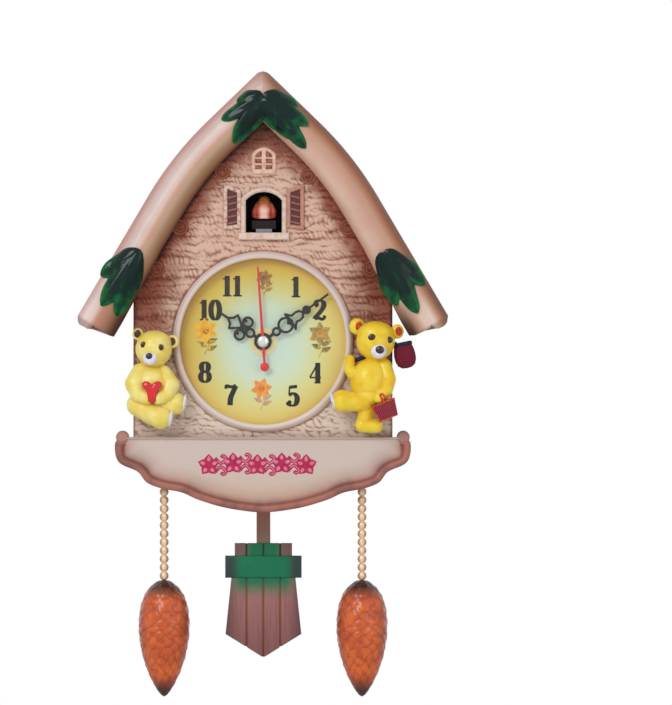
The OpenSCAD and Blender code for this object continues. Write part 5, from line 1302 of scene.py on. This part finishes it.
bird_paint = Finish("bird_paint", 0.4, Coat_Weight=0.2)
plumage = bird_paint.ramp(bird_paint.z, -48, -30, (0, rgb(48, 28, 26)), (0.1, rgb(60, 32, 28)),
                          (0.2, rgb(214, 92, 72)), (0.5, rgb(236, 116, 96)),
                          (0.72, rgb(214, 124, 76)), (1, rgb(172, 112, 66)))
from_middle = bird_paint.calc("ABSOLUTE", bird_paint.minus(bird_paint.x, WINDOW_X))
belly = bird_paint.times(bird_paint.fade(from_middle, 4.6, 1.2), bird_paint.fade(bird_paint.z, -36.0, -41.0))
belly = bird_paint.times(belly, bird_paint.fade(bird_paint.z, -46.0, -45.0))
bird_paint.colour(bird_paint.mix(belly, plumage, rgb(244, 204, 186)))
bird_paint.relief(bird_paint.grain(0.9, 2, (1, 1, 3)), 0.15)
sculpted("bird_body", (WINDOW_X, -47.0, 28.8),
         [((0, 7.0, 0), (6.2, 6.8, 6.4)), ((0, 12.8, 2.5), (4.0, 4.1, 3.9)),
          ((0, 1.6, 0), (7.2, 1.5, 6.6))],
         [[(-3.4, 10, 0.5, 3.0), (-5.4, 6.2, 0.5, 2.9), (-6.6, 3.2, 0, 1.7)],
          [(3.4, 10, 0.5, 3.0), (5.4, 6.2, 0.5, 2.9), (6.6, 3.2, 0, 1.7)],
          [(0, 5, -4, 2.5), (0, 2.4, -8, 1.3)], [(0, 12.6, 5.5, 1.4), (0, 12.5, 8.2, 0.4)]],
         bird_paint, "bird_slide", ["bird"], None, 0.4)
bird_eyes = [egg(WINDOW_X + s * 1.9, -33.4, 34.3, 0.55, 0.6, 0.4) for s in (-1, 1)]
make("bird_eyes", *joined(*bird_eyes), dark_brown, "bird_slide", "bird_paint", (), 80)

box_black = moulded("box_black", rgb(22, 30, 30), rgb(12, 16, 18), 0.6)
dress(box_black, "bird_box")
tray_grey = Finish("tray_grey", 0.5)
tray_low = tray_grey.fade(tray_grey.z, -52.9, -52.4)
tray_grey.colour(tray_grey.mix(tray_low,
                               tray_grey.mix(tray_grey.grain(3), rgb(150, 156, 158), rgb(128, 134, 138)),
                               rgb(32, 20, 20)))
tray_grey.relief(tray_grey.grain(0.5), 0.03)
dress(tray_grey, "bird_carriage")


# Pendulum
# A painted wooden-look rod carries a bob of four planks held by a green cross band.
# Both are moulded plastic; the green is sprayed over the band and fades down the planks.

rod_paint = Finish("rod_paint", 0.5)
streaks = rod_paint.times(rod_paint.grain(1.2, 3, (1, 1, 20)), 0.5)
rod_tone = rod_paint.ramp(rod_paint.z, -266, -238, (0, rgb(126, 122, 96)), (0.4, rgb(150, 116, 98)),
                          (1, rgb(166, 112, 96)))
rod_paint.colour(rod_paint.mix(streaks, rod_tone, rgb(126, 82, 70)))
rod_paint.relief(rod_paint.grain(1.0, 3, (1, 1, 20)), 0.08)
rod = slab(oblong(-4.6, -266.0, 4.6, -165.05), 8.85, 11.55, 0.5)
make("pendulum_rod_painted", *rod, rod_paint, "pendulum", "rod_paint", ["pendulum_rod"])

bob_paint = Finish("bob_paint", 0.5)
plank_tone = bob_paint.ramp(bob_paint.z, -340, -285, (0, rgb(128, 86, 82)), (0.5, rgb(152, 102, 100)),
                            (1, rgb(166, 116, 110)))
streaks = bob_paint.times(bob_paint.fade(bob_paint.grain(1.0, 3, (1, 1, 24)), 0.4, 0.7), 0.4)
plank_tone = bob_paint.mix(streaks, plank_tone, rgb(112, 72, 72))
aside = bob_paint.calc("ABSOLUTE", bob_paint.x)
plank_tone = bob_paint.mix(bob_paint.times(bob_paint.fade(aside, 15, 25), 0.7), plank_tone, rgb(88, 62, 64))
in_header = bob_paint.fade(bob_paint.z, -272.6, -271.2)
plank_tone = bob_paint.mix(bob_paint.times(in_header, 0.6), plank_tone, rgb(86, 78, 76))
height_up = bob_paint.plus(bob_paint.z, bob_paint.times(bob_paint.grain(6), 4))
middle = bob_paint.minus(bob_paint.fade(aside, 26, 14),
                         bob_paint.times(in_header, bob_paint.fade(aside, 7, 15)))
sprayed_green = bob_paint.times(bob_paint.fade(height_up, -300, -285), bob_paint.calc("MAXIMUM", middle, 0))
bob_paint.colour(bob_paint.mix(sprayed_green, plank_tone, rgb(30, 112, 76)))
bob_paint.relief(bob_paint.grain(0.9, 3, (1, 1, 20)), 0.08)
BOB_TOP = -262.7


def bob_low(x):
    return BOB_TOP - 76.9 + 15.9 * abs(x) / 25.5


def bob_side(z):
    return 20 + 5.5 * (BOB_TOP - 9 - z) / 52


PLANK, GROOVE = 11.3, 0.55
near, far = PLANK - GROOVE, PLANK + GROOVE
top, foot = BOB_TOP - 9, BOB_TOP - 61
outer = [(far, top), (far, bob_low(far) + 0.1), (25.4, foot), (bob_side(top), top)]
inner = [(GROOVE, top), (GROOVE, bob_low(GROOVE) + 0.1), (near, bob_low(near) + 0.1), (near, top)]
blocks = [oblong(left, top - 0.5, right, BOB_TOP - 0.05) for left, right in ((GROOVE, near), (far, 19.2))]
planks = []
for side in (-1, 1):
    planks += [slab(to_side(outline, side), 8.0, 12.45, 0.45) for outline in (outer, inner)]
    planks += [slab(to_side(block, side), 8.0, 12.45, 0.4) for block in blocks]
make("bob_planks", *joined(*planks), bob_paint, "pendulum", "bob_paint", ["pendulum_bob"])
band_paint = Finish("bob_band_paint", 0.45)
at_ends = band_paint.fade(band_paint.calc("ABSOLUTE", band_paint.x), 14, 22)
band_green = band_paint.mix(band_paint.grain(5), rgb(26, 118, 82), rgb(20, 108, 74))
band_paint.colour(band_paint.mix(at_ends, band_green, rgb(50, 66, 62)))
band_paint.relief(band_paint.grain(1.2, 3), 0.04)
band = slab(oblong(-25.6, -286.0, 25.6, -271.2), 6.75, 13.65, 1.1)
make("bob_band", *band, band_paint, "pendulum", "bob_paint", ["pendulum_bob"])
groove_paint = Finish("groove_paint", 0.6)
groove_paint.colour(groove_paint.ramp(groove_paint.z, -340, -262, (0, rgb(104, 56, 44)),
                                      (0.45, rgb(138, 80, 52)), (0.62, rgb(112, 84, 50)),
                                      (0.72, rgb(44, 66, 42)), (1, rgb(52, 60, 44))))
groove_paint.relief(groove_paint.grain(0.8), 0.03)
backing = slab([(-bob_side(top) + 0.4, top), (-25.0, foot + 0.2), (0, BOB_TOP - 76.3), (25.0, foot + 0.2),
                (bob_side(top) - 0.4, top)], 7.95, 11.9, 0.1)
header = slab(oblong(-19, top - 0.6, 19, BOB_TOP - 0.3), 7.95, 11.9, 0.1)
make("bob_grooves", *joined(backing, header), groove_paint, "pendulum", "bob_paint")


# Chains
# Pearly gold plastic beads are moulded on a string, with a ring at the top that hangs on the hook's pin.
# Each bead is painted pale in the middle and darker at its sides, as painted highlight and shade.

CHAIN_X, CHAIN_F = 66, 34.5
pearl = Finish("pearly_gold", 0.25, Metallic=0.1, Coat_Weight=0.6, Coat_Roughness=0.15)
# Painted highlight and shade: pale gold near the chain's middle line, darkening towards each bead's sides.
from_line = pearl.calc("ABSOLUTE", pearl.minus(pearl.calc("ABSOLUTE", pearl.x), CHAIN_X))
gold = pearl.mix(pearl.fade(pearl.grain(2.2), 0.35, 0.7), rgb(242, 218, 186), rgb(228, 198, 160))
pearl.colour(pearl.mix(pearl.times(pearl.fade(from_line, 0.5, 2.3), 0.85), gold, rgb(178, 112, 56)))
pearl.relief(pearl.grain(0.6), 0.03)
dress(pearl, "left_chain", "right_chain")


# Cones
# Each weight is a hollow moulded fir cone with rows of small blunt scales.
# It is varnished orange-brown and sprayed nearly black at its top and tip.

SHAPE = [(0, 0.16), (0.02, 0.34), (0.06, 0.56), (0.12, 0.76), (0.19, 0.89), (0.27, 0.97), (0.36, 1),
         (0.45, 1), (0.54, 0.95), (0.63, 0.87), (0.72, 0.76), (0.81, 0.6), (0.89, 0.42), (0.95, 0.25),
         (0.985, 0.12), (1, 0)]
CONE_TOP, CONE_H, CONE_R = -286.65, 78.0, 17.3
varnish = Finish("cone_varnish", 0.34, Coat_Weight=0.5, Coat_Roughness=0.2)
body_tone = varnish.mix(varnish.fade(varnish.grain(9, 2), 0.35, 0.68), rgb(216, 100, 38), rgb(194, 80, 28))
body_tone = varnish.mix(varnish.times(varnish.fade(attribute(varnish, "scale"), 0.45, 0.05), 0.45),
                        body_tone, rgb(128, 44, 20))
# Painted shade: each cone darkens towards its sides.
from_axis = varnish.calc("ABSOLUTE", varnish.minus(varnish.calc("ABSOLUTE", varnish.x), CHAIN_X))
body_tone = varnish.mix(varnish.times(varnish.fade(from_axis, 9, 17), 0.6), body_tone, rgb(120, 44, 26))
from_top = varnish.minus(CONE_TOP, varnish.z)
ends_dark = varnish.calc("MAXIMUM", varnish.fade(from_top, 15, 3.5), varnish.fade(from_top, 61, 75))
varnish.colour(varnish.mix(varnish.times(ends_dark, 0.95), body_tone, rgb(40, 20, 20)))
varnish.relief(varnish.grain(1.2, 2), 0.06)
for side, body in ((-1, "left_weight"), (1, "right_weight")):
    turns, levels = 110, 170
    share, angle = np.meshgrid(np.arange(1, levels) / levels,
                               2 * np.pi * np.arange(turns) / turns, indexing="ij")
    radius = np.interp(share, [p[0] for p in SHAPE], [p[1] for p in SHAPE]) * CONE_R
    drift_x, drift_z = 4 * np.cos(angle) + 20, 17 * share + 4 * np.sin(angle) + 20
    row = share * 19 + 0.55 * uneven(drift_x, drift_z, 11)
    turn = angle / (2 * np.pi) * 11 + 0.24 * uneven(drift_x, drift_z, 12)
    p, q = turn + row / 2, row / 2 - turn
    dp, dq = p - np.floor(p) - 0.5, q - np.floor(q) - 0.5
    bump = np.clip(np.cos(np.pi * dp) * np.cos(np.pi * dq), 0, 1) ** 0.7 * (0.6 + 0.2 * (dp + dq + 1))
    surface = radius - 0.62 * (1 - bump) * np.minimum(1, radius / 8)
    chain_x = side * CHAIN_X
    cone_points = [(chain_x, CONE_TOP, CHAIN_F)]
    cone_points += zip((chain_x + surface * np.cos(angle)).ravel(), (CONE_TOP - share * CONE_H).ravel(),
                       (CHAIN_F + surface * np.sin(angle)).ravel())
    cone_points.append((chain_x, CONE_TOP - CONE_H + 0.05, CHAIN_F))
    cone_faces = lattice(levels - 1, turns, 1)
    last = 1 + (levels - 2) * turns
    cone_faces += [(0, 1 + j, 1 + (j + 1) % turns) for j in range(turns)]
    cone_faces += [(len(cone_points) - 1, last + (j + 1) % turns, last + j) for j in range(turns)]
    make(body.replace("weight", "fir_cone"), cone_points, cone_faces, varnish, body, "cone_paint",
         [body.replace("weight", "cone")], 180, scale=[0.0, *bump.ravel(), 0.0])


# Studio
# A plain pale floor and a soft daylight set, with the camera square to the clock's front.
# The room looks white to the camera, while the clock is lit by a softer, bluish one and two lamps.

FLOOR_Z = -0.46
floor_mesh = bpy.data.meshes.new("pale_floor")
floor_mesh.from_pydata([(x, y, FLOOR_Z) for x, y in oblong(-2, -2, 2, 0.9)], [], [(0, 1, 2, 3)])
pale_floor = bpy.data.objects.new("pale_floor", floor_mesh)
bpy.context.collection.objects.link(pale_floor)
floor_paint = Finish("floor_paint", 0.8)
floor_paint.colour(floor_paint.mix(floor_paint.grain(300), rgb(250, 250, 250), rgb(246, 246, 246)))
floor_mesh.materials.append(floor_paint.material)

world = bpy.data.worlds.new("studio")
bpy.context.scene.world = world
world.use_nodes = True
sky = world.node_tree
path = sky.nodes.new("ShaderNodeLightPath")
seen_ray = sky.nodes.new("ShaderNodeMath")
seen_ray.operation = "ADD"
sky.links.new(path.outputs["Is Camera Ray"], seen_ray.inputs[0])
sky.links.new(path.outputs["Is Glossy Ray"], seen_ray.inputs[1])
any_ray = sky.nodes.new("ShaderNodeMath")
any_ray.operation = "ADD"
any_ray.use_clamp = True
sky.links.new(seen_ray.outputs[0], any_ray.inputs[0])
sky.links.new(path.outputs["Is Transmission Ray"], any_ray.inputs[1])
white = sky.nodes["Background"]
white.inputs["Strength"].default_value = 1
soft = sky.nodes.new("ShaderNodeBackground")
soft.inputs["Color"].default_value = (0.95, 0.97, 1, 1)
soft.inputs["Strength"].default_value = 0.5
white.inputs["Color"].default_value = (1, 1, 1, 1)
blend = sky.nodes.new("ShaderNodeMixShader")
sky.links.new(any_ray.outputs[0], blend.inputs[0])
sky.links.new(soft.outputs[0], blend.inputs[1])
sky.links.new(white.outputs[0], blend.inputs[2])
sky.links.new(blend.outputs[0], sky.nodes["World Output"].inputs[0])

for lamp, place, size, power in (("key_light", (-0.9, -1.7, 0.9), 0.9, 20),
                                 ("fill_light", (1.3, -1.6, 0.1), 1.2, 5.5)):
    light = bpy.data.lights.new(lamp, "AREA")
    light.size, light.energy = size, power
    holder = bpy.data.objects.new(lamp, light)
    holder.location = place
    aim = mathutils.Vector((0, 0, -0.14)) - holder.location
    holder.rotation_euler = aim.to_track_quat("-Z", "Y").to_euler()
    bpy.context.collection.objects.link(holder)

lens = bpy.data.cameras.new("front_camera")
lens.sensor_fit, lens.sensor_height, lens.lens = "VERTICAL", 36, 380
lens.clip_end = 50
front_camera = bpy.data.objects.new("front_camera", lens)
front_camera.location = (0.04867, -5, -0.135)
front_camera.rotation_euler = (math.radians(90), 0, 0)
bpy.context.collection.objects.link(front_camera)
bpy.context.scene.camera = front_camera
bpy.context.scene.view_settings.view_transform = "Standard"
